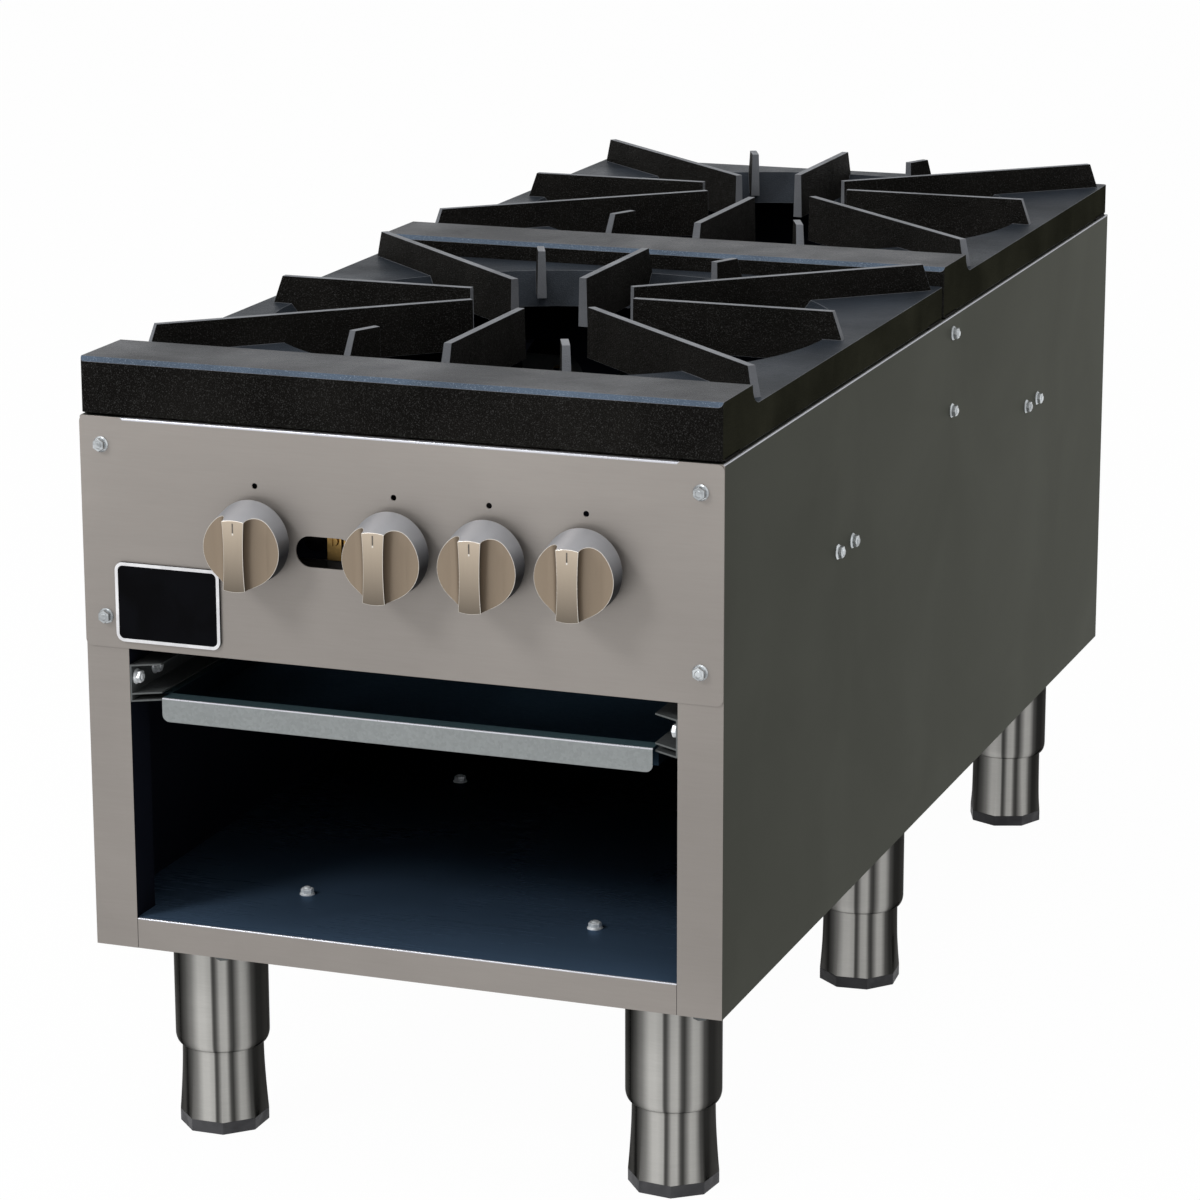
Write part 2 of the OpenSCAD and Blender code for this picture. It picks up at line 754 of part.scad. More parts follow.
// A tube whose lower end is drawn in round the foot
module leg_sleeve() {
  rotate_extrude()
    polygon(concat(
      [[0, rail_z], [0, rail_z - leg_plate_t], [sleeve_in_r, rail_z - leg_plate_t],
       [sleeve_in_r, sleeve_low + sleeve_round]],
      [[sleeve_mouth_r, sleeve_low + sleeve_wall], [sleeve_mouth_r, sleeve_low]],
      [for (i = [0 : sleeve_arc_steps])
        [sleeve_mouth_r + (sleeve_r - sleeve_mouth_r) * sin(90 * i / sleeve_arc_steps),
         sleeve_low + sleeve_round * (1 - cos(90 * i / sleeve_arc_steps))]],
      [[sleeve_r, rail_z]]));
  translate([0, 0, rail_z - leg_plate_t])
    cylinder(r = stud_r, h = leg_plate_t + leg_rail_t + stud_rise);
}

module leg_sleeves() color(steel) both_sides() at_legs() leg_sleeve();

module leg_nuts() color(zinc)
  both_sides() at_legs() translate([0, 0, body_z])
    difference() {
      cylinder(r = stud_nut_r, h = stud_nut_h, $fn = 6);
      translate([0, 0, -over]) cylinder(r = stud_r + bolt_gap, h = stud_nut_h + 2 * over);
    }

// A tube that widens from round to eight-sided over its end cap, guided by a collar in the sleeve
module foot() color(steel)
  difference() {
    union() {
      intersection() {
        cylinder(r1 = foot_corner_r, r2 = foot_r, h = sleeve_low);
        rotate([0, 0, foot_turn])
          cylinder(r = foot_facet_r / cos(foot_turn), h = sleeve_low, $fn = 8);
      }
      translate([0, 0, sleeve_low - over]) cylinder(r = foot_r, h = collar_low + collar_h - sleeve_low + over);
      translate([0, 0, collar_low]) cylinder(r = sleeve_in_r - foot_gap, h = collar_h);
      rotate([0, 0, foot_turn]) cylinder(r = foot_corner_r, h = foot_cap_h, $fn = 8);
    }
    translate([0, 0, foot_cap_h]) cylinder(r = foot_r - foot_wall, h = leg_h);
  }

module foot_at(row, side)
  translate([side * leg_x, front_y + leg_rows[row], 0]) foot();

module front_left_foot() foot_at(0, -1);
module front_right_foot() foot_at(0, 1);
module middle_left_foot() foot_at(1, -1);
module middle_right_foot() foot_at(1, 1);
module rear_left_foot() foot_at(2, -1);
module rear_right_foot() foot_at(2, 1);

// Grates

// The bowl's radius at a height over the grate's underside
function bowl_r(z) = bowl_low_r + (bowl_top_r - bowl_low_r) * z / rim_h;

// A fin from r0 to r1 whose sides taper to its top; its outer part stands in the rim
module fin(r0, r1) {
  r2 = max(r1 + fin_lean, bowl_top_r + fin_bite);
  intersection() {
    rotate([90, 0, 0]) linear_extrude(fin_low_t, center = true)
      polygon([[r0, fin_low], [r0, fin_h], [r1, fin_h], [r1 + fin_lean, rim_h],
               [r2, rim_h - fin_bite], [bowl_top_r, rim_h - fin_bite],
               [bowl_r(fin_low) + fin_bite, fin_low]]);
    rotate([90, 0, 90]) linear_extrude(r2 + over)
      polygon([[-fin_low_t / 2, 0], [fin_low_t / 2, 0], [fin_top_t / 2, fin_h], [-fin_top_t / 2, fin_h]]);
  }
}

// Eight long fins and four short ones point at the open middle
module star() {
  for (a = [diagonal_a, 180 - diagonal_a, 180 + diagonal_a, 360 - diagonal_a])
    rotate([0, 0, a]) fin(star_r, diagonal_r);
  for (a = [0, 180]) rotate([0, 0, a]) fin(star_r, side_fin_r);
  for (a = [90, 270]) rotate([0, 0, a]) fin(star_r, long_fin_r);
  for (a = [stub_a, 180 - stub_a, 180 + stub_a, 360 - stub_a])
    rotate([0, 0, a]) fin(stub_in_r, stub_out_r);
}

module grate_outline()
  translate([0, grate_l / 2]) rounded(grate_w, grate_l, corner_r);

// The front rail in section: chamfered in front, run out in a hollow curve behind
module grate_rail() {
  r = rail_h - rim_h;
  intersection() {
    translate([-grate_w / 2, 0, 0]) rotate([90, 0, 90]) linear_extrude(grate_w)
      polygon(concat(
        [[0, fin_bite], [rail_d + r, fin_bite]],
        [for (i = [0 : curve_steps])
          [rail_d + r * (1 - sin(90 * i / curve_steps)), rim_h + r * (1 - cos(90 * i / curve_steps))]],
        [[rail_chamfer, rail_h], [0, rail_h - rail_chamfer]]));
    linear_extrude(rail_h) grate_outline();
  }
}

module grate() {
  difference() {
    union() {
      linear_extrude(rim_h) grate_outline();
      grate_rail();
    }
    // The round opening, wider at the top
    translate([0, star_y, -over])
      cylinder(r1 = bowl_r(-over), r2 = bowl_r(rim_h + over), h = rim_h + 2 * over);
    // The hollow under the corners and the rail
    difference() {
      translate([-grate_w / 2 + cast_wall, cast_wall, -over])
        cube([grate_w - 2 * cast_wall, grate_l - 2 * cast_wall, rim_h - cast_wall + over]);
      translate([0, star_y, -2 * over])
        cylinder(r = bowl_top_r + 2.5 * cast_wall, h = rim_h + 2 * over);
    }
    slab(-grate_w / 2 + cast_wall, grate_w / 2 - cast_wall, cast_wall, rail_d - cast_wall,
         -over, rail_h - cast_wall);
  }
  translate([0, star_y, 0]) star();
  for (x = [-1, 1], y = [pad_inset, grate_l - pad_inset - pad_l])
    translate([x * (grate_w / 2 - cast_wall / 2) - cast_wall / 2, y, -pad_h])
      cube([cast_wall, pad_l, pad_h + over]);
}

module front_grate() color(iron) translate([0, front_y, grate_z]) grate();
module rear_grate() color(iron) translate([0, front_y + grate_pitch, grate_z]) grate();

// Burners

// A mixing tube along +Y on the gas axis, from its mouth to a closed end behind y = 0
module mixing_tube()
  difference() {
    rotate([90, 0, 0]) rotate_extrude()
      polygon([[0, -tube_r], [tube_r - tube_end_chamfer, -tube_r], [tube_r, -tube_r + tube_end_chamfer],
               [tube_r, mouth_reach - bell_l], [mouth_r, mouth_reach - mouth_lip],
               [mouth_r, mouth_reach], [0, mouth_reach]]);
    rotate([90, 0, 0]) rotate_extrude()
      polygon([[0, tube_r], [tube_bore_r, tube_r], [tube_bore_r, mouth_reach - bell_l],
               [mouth_r - mouth_wall, mouth_reach - mouth_lip],
               [mouth_r - mouth_wall, mouth_reach - mouth_plate_t], [0, mouth_reach - mouth_plate_t]]);
    rod_y(0, -mouth_reach - over, -mouth_reach + mouth_plate_t + over, 0, hood_hole_r);
    windows(-mouth_reach - over, -mouth_reach + mouth_plate_t + over);
  }

module windows(y0, y1)
  for (i = [0 : window_count - 1])
    rotate([0, 360 / window_count * (i + 1 / 2), 0]) rod_y(window_pitch_r, y0, y1, 0, window_r);

module ring(r_out, w, z0, z1)
  rotate_extrude()
    polygon([[r_out - w, z0], [r_out, z0], [r_out, z1 - ring_chamfer], [r_out - ring_chamfer, z1],
             [r_out - w + ring_chamfer / 2, z1], [r_out - w, z1 - ring_chamfer / 2]]);

module burner_foot(x)
  translate([x, -support_back, support_z - gas_z])
    cylinder(r = burner_foot_r, h = gas_z - support_z + ring_low + over);

// Two rings joined by four arms, fed by a mixing tube under the left of the outer ring
module outer_burner(b) color(iron)
  translate([0, burner_y(b), gas_z]) {
    difference() {
      union() {
        ring(outer_ring_r, ring_w, ring_low, ring_top);
        ring(middle_ring_r, ring_w, ring_low, ring_top);
        for (a = [1, 3, 5, 7]) rotate([0, 0, 45 * a])
          translate([middle_ring_r - ring_w / 2, -arm_w / 2, ring_low + arm_drop / 2])
            cube([outer_ring_r - middle_ring_r, arm_w, ring_top - ring_low - 1.5 * arm_drop]);
        burner_foot(outer_foot_x);
      }
      rod_y(0, -outer_ring_r - over, -middle_ring_r + 1.5 * ring_w, 0, tube_r + saddle_gap);
    }
    translate([outer_tube_x, 0, 0]) mixing_tube();
    difference() {
      burner_foot(outer_tube_x);
      rod_y(outer_tube_x, -mouth_reach, 0, 0, tube_r - over);
    }
  }

// A single head on its own mixing tube
module inner_burner(b) color(iron)
  translate([0, burner_y(b), gas_z]) {
    rotate_extrude()
      polygon([[0, ring_low], [head_r - ring_chamfer, ring_low], [head_r, ring_low + ring_chamfer],
               [head_r, ring_top - ring_chamfer], [head_r - ring_chamfer, ring_top], [0, ring_top]]);
    mixing_tube();
    difference() {
      translate([0, -support_back, support_z - gas_z]) cylinder(r = burner_foot_r, h = gas_z - support_z);
      rod_y(0, -mouth_reach, 0, 0, tube_r - over);
    }
  }

module front_outer_burner() outer_burner(0);
module front_inner_burner() inner_burner(0);
module rear_outer_burner() outer_burner(1);
module rear_inner_burner() inner_burner(1);

// A disc that turns on the hood in front of the mouth to open or close its windows
module shutter(b, x) color(zinc)
  translate([x, burner_y(b) - mouth_reach - shutter_gap - shutter_t, gas_z])
    difference() {
      union() {
        rod_y(0, 0, shutter_t, 0, mouth_r - shutter_rim);
        translate([-tab_w / 2, -tab_l, mouth_r - 2 * shutter_rim - shutter_t])
          cube([tab_w, tab_l + shutter_t, shutter_t]);
      }
      rod_y(0, -over, shutter_t + over, 0, hood_hole_r);
      windows(-over, shutter_t + over);
    }

module front_outer_shutter() shutter(0, outer_tube_x);
module front_inner_shutter() shutter(0, 0);
module rear_outer_shutter() shutter(1, outer_tube_x);
module rear_inner_shutter() shutter(1, 0);

// Gas works

module gas_manifold() color(pipe_black)
  difference() {
    union() {
      rod_x(-pipe_x + elbow_reach - socket_d + seam, manifold_x, front_y + manifold_y, manifold_z, pipe_r);
      rod_x(manifold_x, manifold_x + cap_l, front_y + manifold_y, manifold_z, elbow_band_r);
      for (x = knob_xs) translate([x, front_y + manifold_y, manifold_z])
        cylinder(r = boss_r, h = pipe_r + boss_rise);
      translate([pilot_x, front_y + manifold_y, manifold_z + (pipe_r + boss_rise) / 2])
        cube([2 * pilot_pitch, pilot_l, pipe_r + boss_rise], center = true);
    }
    rod_x(-side_x, manifold_x - over, front_y + manifold_y, manifold_z, pipe_r - tube_wall);
  }

module manifold_brackets() color(zinc)
  for (x = bracket_xs) difference() {
    union() {
      slab(x, x + bracket_t, post_y, post_y + bracket_d, manifold_z - bracket_low, manifold_z + bracket_high);
      slab(x, x + bracket_foot, post_y, post_y + bracket_t, manifold_z - bracket_low, manifold_z + bracket_high);
    }
    rod_x(x - over, x + bracket_t + over, front_y + manifold_y, manifold_z, pipe_r + pipe_gap);
  }

// A round-cornered elbow at the origin with one arm along +X and one along +Z
module elbow() {
  sphere(elbow_r);
  for (t = [[0, 90, 0], [0, 0, 0]]) rotate(t) {
    cylinder(r = elbow_r, h = elbow_reach);
    translate([0, 0, elbow_reach - elbow_band]) cylinder(r = elbow_band_r, h = elbow_band);
  }
}

// From the manifold's left end down, then to the rear and out through the rear panel
module gas_supply_pipe() color(pipe_black)
  difference() {
    union() {
      translate([-pipe_x, front_y + manifold_y, manifold_z]) mirror([0, 0, 1]) elbow();
      translate([-pipe_x, front_y + manifold_y, supply_z]) rotate([0, 0, 90]) elbow();
      rod_y(-pipe_x, front_y + manifold_y, rear_y + inlet_out - thread_l, supply_z, pipe_r);
      rod_y(-pipe_x, rear_y, rear_y + inlet_out, supply_z, thread_r);
      translate([-pipe_x, front_y + manifold_y, supply_z]) cylinder(r = pipe_r, h = riser_drop);
    }
    rod_x(-pipe_x + elbow_reach - socket_d, -pipe_x + elbow_reach + over, front_y + manifold_y,
          manifold_z, pipe_r + pipe_gap);
    rod_y(-pipe_x, rear_y - body_d / 2, rear_y + inlet_out + over, supply_z, pipe_r - tube_wall + over);
  }

module gas_valve() {
  difference() {
    union() {
      rod_y(0, bonnet_y + bonnet_t, valve_back, 0, valve_r);
      rod_y(0, valve_back, outlet_back, 0, outlet_r);
      upright(bonnet_y, bonnet_t) rounded(bonnet_w, bonnet_w, corner_r);
      translate([0, manifold_y, boss_z - gas_z]) cylinder(r = inlet_r, h = gas_z - boss_z);
      translate([0, manifold_y, boss_z - gas_z]) cylinder(r = boss_r, h = inlet_hex_h, $fn = 6);
    }
    rod_y(0, bonnet_y - over, stem_in + stem_end_gap, 0, stem_d / 2 + knob_bore_gap);
  }
}

module gas_valves() color(brass)
  for (x = knob_xs) translate([x, front_y, gas_z]) gas_valve();

// A hex hood whose drilled tip points into the mixing tube
module orifice_hood(b, x) translate([x, works_y(b), gas_z]) {
  rod_y(0, outlet_back, hood_hex_back, 0, hood_r / cos(30) + over, 6);
  rod_y(0, hood_hex_back, hood_back, 0, hood_r);
  translate([0, hood_back, 0]) rotate([-90, 0, 0])
    cylinder(r1 = hood_r, r2 = hood_tip_r, h = hood_tip_back - hood_back);
}

module orifice_hoods() color(brass)
  for (b = [0, 1], x = [outer_tube_x, 0]) orifice_hood(b, x);

module bend(x, y, start)
  translate([x, y, 0]) rotate([0, 0, start])
    rotate_extrude(angle = 90) translate([tube_bend_r, 0]) circle(gas_tube_r);

// A tube with four square bends: out from x0 to a run at x1, and back to x2 behind the front burner
module gas_tube(x0, x1, x2, run_y, back_y) translate([0, front_y, gas_z]) {
  r = tube_bend_r;
  rod_y(x0, outlet_back, outlet_back + tube_nut_l, 0, tube_nut_r, 6);
  rod_y(x0, outlet_back, run_y - r, 0, gas_tube_r);
  bend(x0 + r, run_y - r, 90);
  if (x1 - x0 > 2 * r) rod_x(x0 + r, x1 - r, run_y, 0, gas_tube_r);
  bend(x1 - r, run_y + r, 270);
  rod_y(x1, run_y + r, back_y - r, 0, gas_tube_r);
  bend(x1 - r, back_y - r, 0);
  rod_x(x2 + r, x1 - r, back_y, 0, gas_tube_r);
  bend(x2 + r, back_y + r, 180);
  rod_y(x2, back_y + r, grate_pitch + outlet_back, 0, gas_tube_r);
  rod_y(x2, grate_pitch + outlet_back - tube_nut_l, grate_pitch + outlet_back, 0, tube_nut_r, 6);
}

// The outer ring's tube lies inside the head's tube and turns back in front of it
module rear_gas_tubes() color(zinc) {
  gas_tube(knob_xs[2], inner_run_x, outer_tube_x, inner_run_y, grate_pitch - gas_tube_r - inner_tube_back);
  gas_tube(knob_xs[3], outer_run_x, 0, outer_run_y, grate_pitch + outer_tube_back);
}

// An upturned bracket on the divider that holds the rear hoods
module rear_hood_bracket() color(zinc)
  difference() {
    x0 = outer_tube_x - hood_bracket_x;
    y1 = works_y(1) + hood_hex_back;
    z0 = gas_z - hood_bracket_drop;
    union() {
      slab(x0, hood_bracket_x, divider_y + sheet_t, divider_y + 2 * sheet_t, z0 - hood_bracket_foot, z0);
      slab(x0, hood_bracket_x, divider_y + sheet_t, y1 + sheet_t, z0 - sheet_t, z0);
      slab(x0, hood_bracket_x, y1, y1 + sheet_t, z0 - sheet_t, gas_z + hood_bracket_rise);
    }
    for (x = [outer_tube_x, 0]) rod_y(x, y1 - over, y1 + sheet_t + over, gas_z, hood_r + knob_bore_gap);
    rod_y(pilot_x - pilot_pitch / 2, y1 - over, y1 + sheet_t + over, gas_z - pilot_tube_drop,
          pilot_tube_r + seam);
  }

// Stems and knobs

module stem(i) color(zinc)
  rod_y(knob_xs[i], front_y - knob_proj + knob_face + seam, front_y + stem_in, gas_z, stem_d / 2);

module front_outer_stem() stem(0);
module front_inner_stem() stem(1);
module rear_outer_stem() stem(2);
module rear_inner_stem() stem(3);

// A round knob, a cone that leans down so that its underside is level, with a hollow scooped out
// on each side of its grip
module knob(i) color(nickel)
  translate([knob_xs[i], front_y, gas_z])
    difference() {
      intersection() {
        translate([0, -knob_gap - knob_apex, -knob_r]) rotate([knob_lean - 90, 0, 0])
          cylinder(r1 = 0, r2 = 2 * knob_apex * tan(knob_lean), h = 2 * knob_apex);
        slab(-knob_d, knob_d, -knob_proj, -knob_gap, -knob_d, knob_d);
      }
      for (s = [-1, 1]) translate([s * scoop_x, -skirt_d - knob_gap - scoop_r, -knob_r - over])
        cylinder(r = scoop_r, h = knob_d + 2 * over);
      for (s = [-1, 1]) slab(s > 0 ? scoop_x : -knob_r - over, s > 0 ? knob_r + over : -scoop_x,
                             -knob_proj - over, -skirt_d - knob_gap, -knob_r - over, knob_r + over);
      rod_y(0, -knob_proj + knob_face, 0, 0, stem_d / 2 + knob_bore_gap);
    }

module front_outer_knob() knob(0);
module front_inner_knob() knob(1);
module rear_outer_knob() knob(2);
module rear_inner_knob() knob(3);

// Pilots: 0 serves the front burner, 1 the rear one

function pilot_at(i) = pilot_x + (1 / 2 - i) * pilot_pitch;

module pilot_valves() color(brass)
  for (i = [0, 1]) difference() {
    translate([pilot_at(i), front_y + pilot_y + pilot_l / 2, boss_z + pilot_h / 2])
      cube([pilot_w, pilot_l, pilot_h], center = true);
    rod_y(pilot_at(i), front_y + pilot_y - over, front_y + pilot_y + pilot_screw_in + seam,
          gas_z - pilot_screw_drop, pilot_screw_r + knob_bore_gap);
  }

module pilot_screw(i) color(brass)
  difference() {
    rod_y(pilot_at(i), front_y + pilot_y - pilot_screw_out, front_y + pilot_y + pilot_screw_in,
          gas_z - pilot_screw_drop, pilot_screw_r);
    translate([pilot_at(i), front_y + pilot_y - pilot_screw_out, gas_z - pilot_screw_drop])
      cube([pilot_slot_w, 2 * pilot_slot_d, 2 * pilot_screw_r + over], center = true);
  }

module front_pilot_screw() pilot_screw(0);
module rear_pilot_screw() pilot_screw(1);

function pilot_head_y(b) = burner_y(b) - outer_ring_r - pilot_stand;

// A tube from the pilot valve under the rings, turned up in front of its burner
module pilot_tube(i) {
  y1 = pilot_head_y(i);
  z0 = gas_z - pilot_tube_drop;
  z1 = gas_z + ring_top - pilot_head_drop - pilot_head_h;
  rod_y(pilot_at(i), front_y + pilot_y + pilot_l, y1 - pilot_bend_r, z0, pilot_tube_r);
  translate([pilot_at(i), y1 - pilot_bend_r, z0 + pilot_bend_r]) rotate([0, 90, 0])
    rotate_extrude(angle = 90) translate([pilot_bend_r, 0]) circle(pilot_tube_r);
  translate([pilot_at(i), y1, z0 + pilot_bend_r]) cylinder(r = pilot_tube_r, h = z1 - z0 - pilot_bend_r);
}

module pilot_tubes() color(galvanized) for (i = [0, 1]) pilot_tube(i);

module pilot_burners() color(steel)
  for (i = [0, 1])
    translate([pilot_at(i), pilot_head_y(i), gas_z + ring_top - pilot_head_drop - pilot_head_h])
      cylinder(r = pilot_head_r, h = pilot_head_h);

// Fasteners

module control_panel_bolts() color(zinc) at_panel_bolts() flange_bolt(2 * sheet_t);
module side_panel_bolts() color(zinc) both_sides() at_side_bolts() flange_bolt(2 * sheet_t);

module tray_channel_bolts() color(zinc)
  both_sides() at_channel_bolts() flange_bolt(2 * sheet_t);

module shelf_bolts() color(zinc)
  both_sides() at_shelf_bolts() flange_bolt(sheet_t + leg_rail_t);

module rear_panel_screws() color(zinc) both_sides() at_rear_screws() {
  cylinder(r = bolt_flange_r, h = bolt_flange_t);
  translate([0, 0, -2 * sheet_t - nut_h]) cylinder(d = bolt_d, h = 2 * sheet_t + nut_h);
}

left_side_panel();
right_side_panel();
rear_panel();
bottom_shelf();
control_panel();
blank_plate();
middle_divider();
front_burner_support();
rear_burner_support();
left_tray_channel();
right_tray_channel();
drip_tray();
drip_tray_walls();
drip_tray_rim();
left_leg_rail();
right_leg_rail();
leg_sleeves();
leg_nuts();
front_left_foot();
front_right_foot();
middle_left_foot();
middle_right_foot();
rear_left_foot();
rear_right_foot();
front_grate();
rear_grate();
front_outer_burner();
front_inner_burner();
rear_outer_burner();
rear_inner_burner();
front_outer_shutter();
front_inner_shutter();
rear_outer_shutter();
rear_inner_shutter();
gas_manifold();
manifold_brackets();
gas_supply_pipe();
gas_valves();
orifice_hoods();
rear_gas_tubes();
rear_hood_bracket();
front_outer_stem();
front_inner_stem();
rear_outer_stem();
rear_inner_stem();
front_outer_knob();
front_inner_knob();
rear_outer_knob();
rear_inner_knob();
pilot_valves();
front_pilot_screw();
rear_pilot_screw();
pilot_tubes();
pilot_burners();
control_panel_bolts();
side_panel_bolts();
tray_channel_bolts();
shelf_bolts();
rear_panel_screws();
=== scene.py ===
"""Stock pot range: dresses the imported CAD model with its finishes, rounded edges and castings.

Lengths in this script are millimetres in the CAD's frame; make_piece turns them into metres.
"""

import math

import bmesh
import bpy
from bpy.props import FloatProperty, FloatVectorProperty, IntProperty, PointerProperty
from mathutils import Matrix, Vector


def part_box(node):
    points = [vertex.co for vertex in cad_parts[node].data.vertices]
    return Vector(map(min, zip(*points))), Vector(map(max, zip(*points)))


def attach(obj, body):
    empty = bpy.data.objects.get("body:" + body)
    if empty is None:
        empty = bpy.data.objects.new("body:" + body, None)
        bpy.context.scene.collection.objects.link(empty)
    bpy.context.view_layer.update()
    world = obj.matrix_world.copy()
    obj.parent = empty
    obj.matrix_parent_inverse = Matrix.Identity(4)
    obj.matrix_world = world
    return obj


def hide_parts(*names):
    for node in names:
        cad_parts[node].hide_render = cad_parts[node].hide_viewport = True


bl_info = {
    "name": "Stock pot range",
    "version": (1, 0, 0),
    "blender": (4, 5, 0),
    "location": "3D View > Sidebar > Range",
    "description": "Builds the looks of a stock pot range around its CAD frame",
    "category": "Object",
}

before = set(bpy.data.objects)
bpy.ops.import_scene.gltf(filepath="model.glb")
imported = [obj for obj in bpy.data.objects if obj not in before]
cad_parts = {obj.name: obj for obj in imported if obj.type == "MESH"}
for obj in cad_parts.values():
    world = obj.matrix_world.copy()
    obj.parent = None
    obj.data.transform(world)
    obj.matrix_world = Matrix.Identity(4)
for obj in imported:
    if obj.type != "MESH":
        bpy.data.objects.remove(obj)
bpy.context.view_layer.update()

MM = 0.001
FULL_TURN = 2 * math.pi
ROUND_STEPS, SMALL_STEPS, ROD_STEPS = 96, 32, 20
# A face points along an axis when that part of its normal is over this
FACING = 0.9


# ---------------------------------------------------------------- sizes read from the frame


def node_box(node):
    """Lowest and highest corner of a CAD node in millimetres."""
    low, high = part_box(node)
    return low / MM, high / MM


PANEL_LOW, PANEL_HIGH = node_box("control_panel")
SIDE_HIGH = node_box("right_side_panel")[1]
SHELF_LOW, SHELF_HIGH = node_box("bottom_shelf")
GRATE_LOW, GRATE_HIGH = node_box("front_grate")
GRATE_PITCH = node_box("rear_grate")[0].y - GRATE_LOW.y
KNOB_LOW, KNOB_HIGH = node_box("front_outer_knob")
RAIL_Z = node_box("left_leg_rail")[0].z
FRONT_Y = PANEL_LOW.y
SHEET = 1.2
BURNERS = ("front", "rear")
RINGS = ("outer", "inner")
CONTROLS = ("front_outer", "front_inner", "rear_outer", "rear_inner")
FEET = ("front_left", "front_right", "middle_left", "middle_right", "rear_left", "rear_right")


def foot_centre(foot):
    low, high = node_box(foot + "_foot")
    return Vector(((low.x + high.x) / 2, (low.y + high.y) / 2, 0))


LEG_CENTRES = [foot_centre(foot) for foot in FEET]


# ---------------------------------------------------------------- sizes and colours to change


class RangeSizes(bpy.types.PropertyGroup):
    """Sizes of the details that the CAD model leaves out."""

    sheet_rounding: FloatProperty(
        name="Sheet rounding", description="Radius of the sheets' bends and edges", unit="LENGTH", default=0.00045
    )
    casting_rounding: FloatProperty(
        name="Casting rounding", description="Radius of the grates' edges", unit="LENGTH", default=0.0013
    )
    knob_rounding: FloatProperty(
        name="Knob rounding", description="Radius of the knobs' edges", unit="LENGTH", default=0.0007
    )
    port_count: IntProperty(
        name="Flame ports", description="Ports round an outer ring", default=60, min=24, max=90
    )


class RangeColours(bpy.types.PropertyGroup):
    """Colours of the finishes, as they render in plain light."""

    front_steel: FloatVectorProperty(
        name="Front steel", description="Brushed steel of the front",
        subtype="COLOR", size=3, default=(0.375, 0.346, 0.322),
    )
    # Painted darker than the front steel, for the shade and dark reflections on the sides
    side_steel: FloatVectorProperty(
        name="Side steel", description="Brushed steel of the sides",
        subtype="COLOR", size=3, default=(0.116, 0.120, 0.102),
    )
    # Painted near black for the shade inside the bays
    inner_steel: FloatVectorProperty(
        name="Inner steel", description="Sheet inside the bays",
        subtype="COLOR", size=3, default=(0.012, 0.014, 0.022),
    )
    # Painted blue for the reflection of the dark bay
    shelf_steel: FloatVectorProperty(
        name="Shelf steel", description="Top of the storage shelf",
        subtype="COLOR", size=3, default=(0.105, 0.175, 0.280),
    )
    iron: FloatVectorProperty(
        name="Cast iron", description="Rough cast iron of the grates",
        subtype="COLOR", size=3, default=(0.0095, 0.0089, 0.0080),
    )
    # A painted bluish reflection of the sky on the grates' level faces
    iron_top: FloatVectorProperty(
        name="Smooth cast iron", description="Level faces of the grates",
        subtype="COLOR", size=3, default=(0.018, 0.022, 0.028),
    )
    # The rails' tops get a lighter colour than the rest of the casting
    iron_rail: FloatVectorProperty(
        name="Lighter cast iron", description="Top of the grates' front rails",
        subtype="COLOR", size=3, default=(0.058, 0.060, 0.064),
    )
    galvanized: FloatVectorProperty(
        name="Galvanized sheet", description="Tray and channels",
        subtype="COLOR", size=3, default=(0.285, 0.304, 0.306),
    )
    knob: FloatVectorProperty(
        name="Knobs", description="Satin plating of the knobs",
        subtype="COLOR", size=3, default=(0.57, 0.48, 0.38),
    )
    # Painted lighter and bluer for the light and reflection on the knobs' upper slopes
    knob_shoulder: FloatVectorProperty(
        name="Knob shoulders", description="Upper slopes of the knobs",
        subtype="COLOR", size=3, default=(0.45, 0.458, 0.485),
    )
    zinc: FloatVectorProperty(
        name="Zinc", description="Bolts and nuts",
        subtype="COLOR", size=3, default=(0.55, 0.58, 0.60),
    )
    brass: FloatVectorProperty(
        name="Brass", description="Valves and hoods",
        subtype="COLOR", size=3, default=(0.48, 0.30, 0.10),
    )


def rounding(kind):
    """A rounding of the panel's list, in millimetres."""
    return getattr(bpy.context.scene.range_sizes, kind + "_rounding") / MM


# ---------------------------------------------------------------- shader helpers


WHITE = (1.0, 1.0, 1.0)
EVENLY = (1.0, 1.0, 1.0)


def plug(tree, socket, value):
    """Links an output to a socket, or sets the socket's own value."""
    if isinstance(value, bpy.types.NodeSocket):
        tree.links.new(value, socket)
    elif socket.type == "RGBA":
        socket.default_value = (*value[:3], 1.0)
    else:
        socket.default_value = value


def place(tree, kind, sockets=None, **properties):
    """Adds a node; a socket's value is a number, a colour or another node's output."""
    node = tree.nodes.new(kind)
    for name, value in properties.items():
        setattr(node, name, value)
    for name, value in (sockets or {}).items():
        plug(tree, node.inputs[name], value)
    return node


def arithmetic(tree, operation, first, second=0.0, third=0.0):
    return place(tree, "ShaderNodeMath", {0: first, 1: second, 2: third}, operation=operation).outputs[0]


def remap(tree, value, from_low, from_high, to_low, to_high, **properties):
    sockets = {"Value": value, "From Min": from_low, "From Max": from_high, "To Min": to_low, "To Max": to_high}
    return place(tree, "ShaderNodeMapRange", sockets, **properties).outputs[0]


def mix_colour(tree, factor, first, second, blend="MIX"):
    sockets = {0: factor, 6: first, 7: second}
    return place(tree, "ShaderNodeMix", sockets, data_type="RGBA", blend_type=blend).outputs[2]


def noise(tree, vector, scale, **more):
    """A noise texture's value; its other sockets are named by keyword."""
    sockets = {"Vector": vector, "Scale": scale} | {name.title(): value for name, value in more.items()}
    return place(tree, "ShaderNodeTexNoise", sockets).outputs["Fac"]


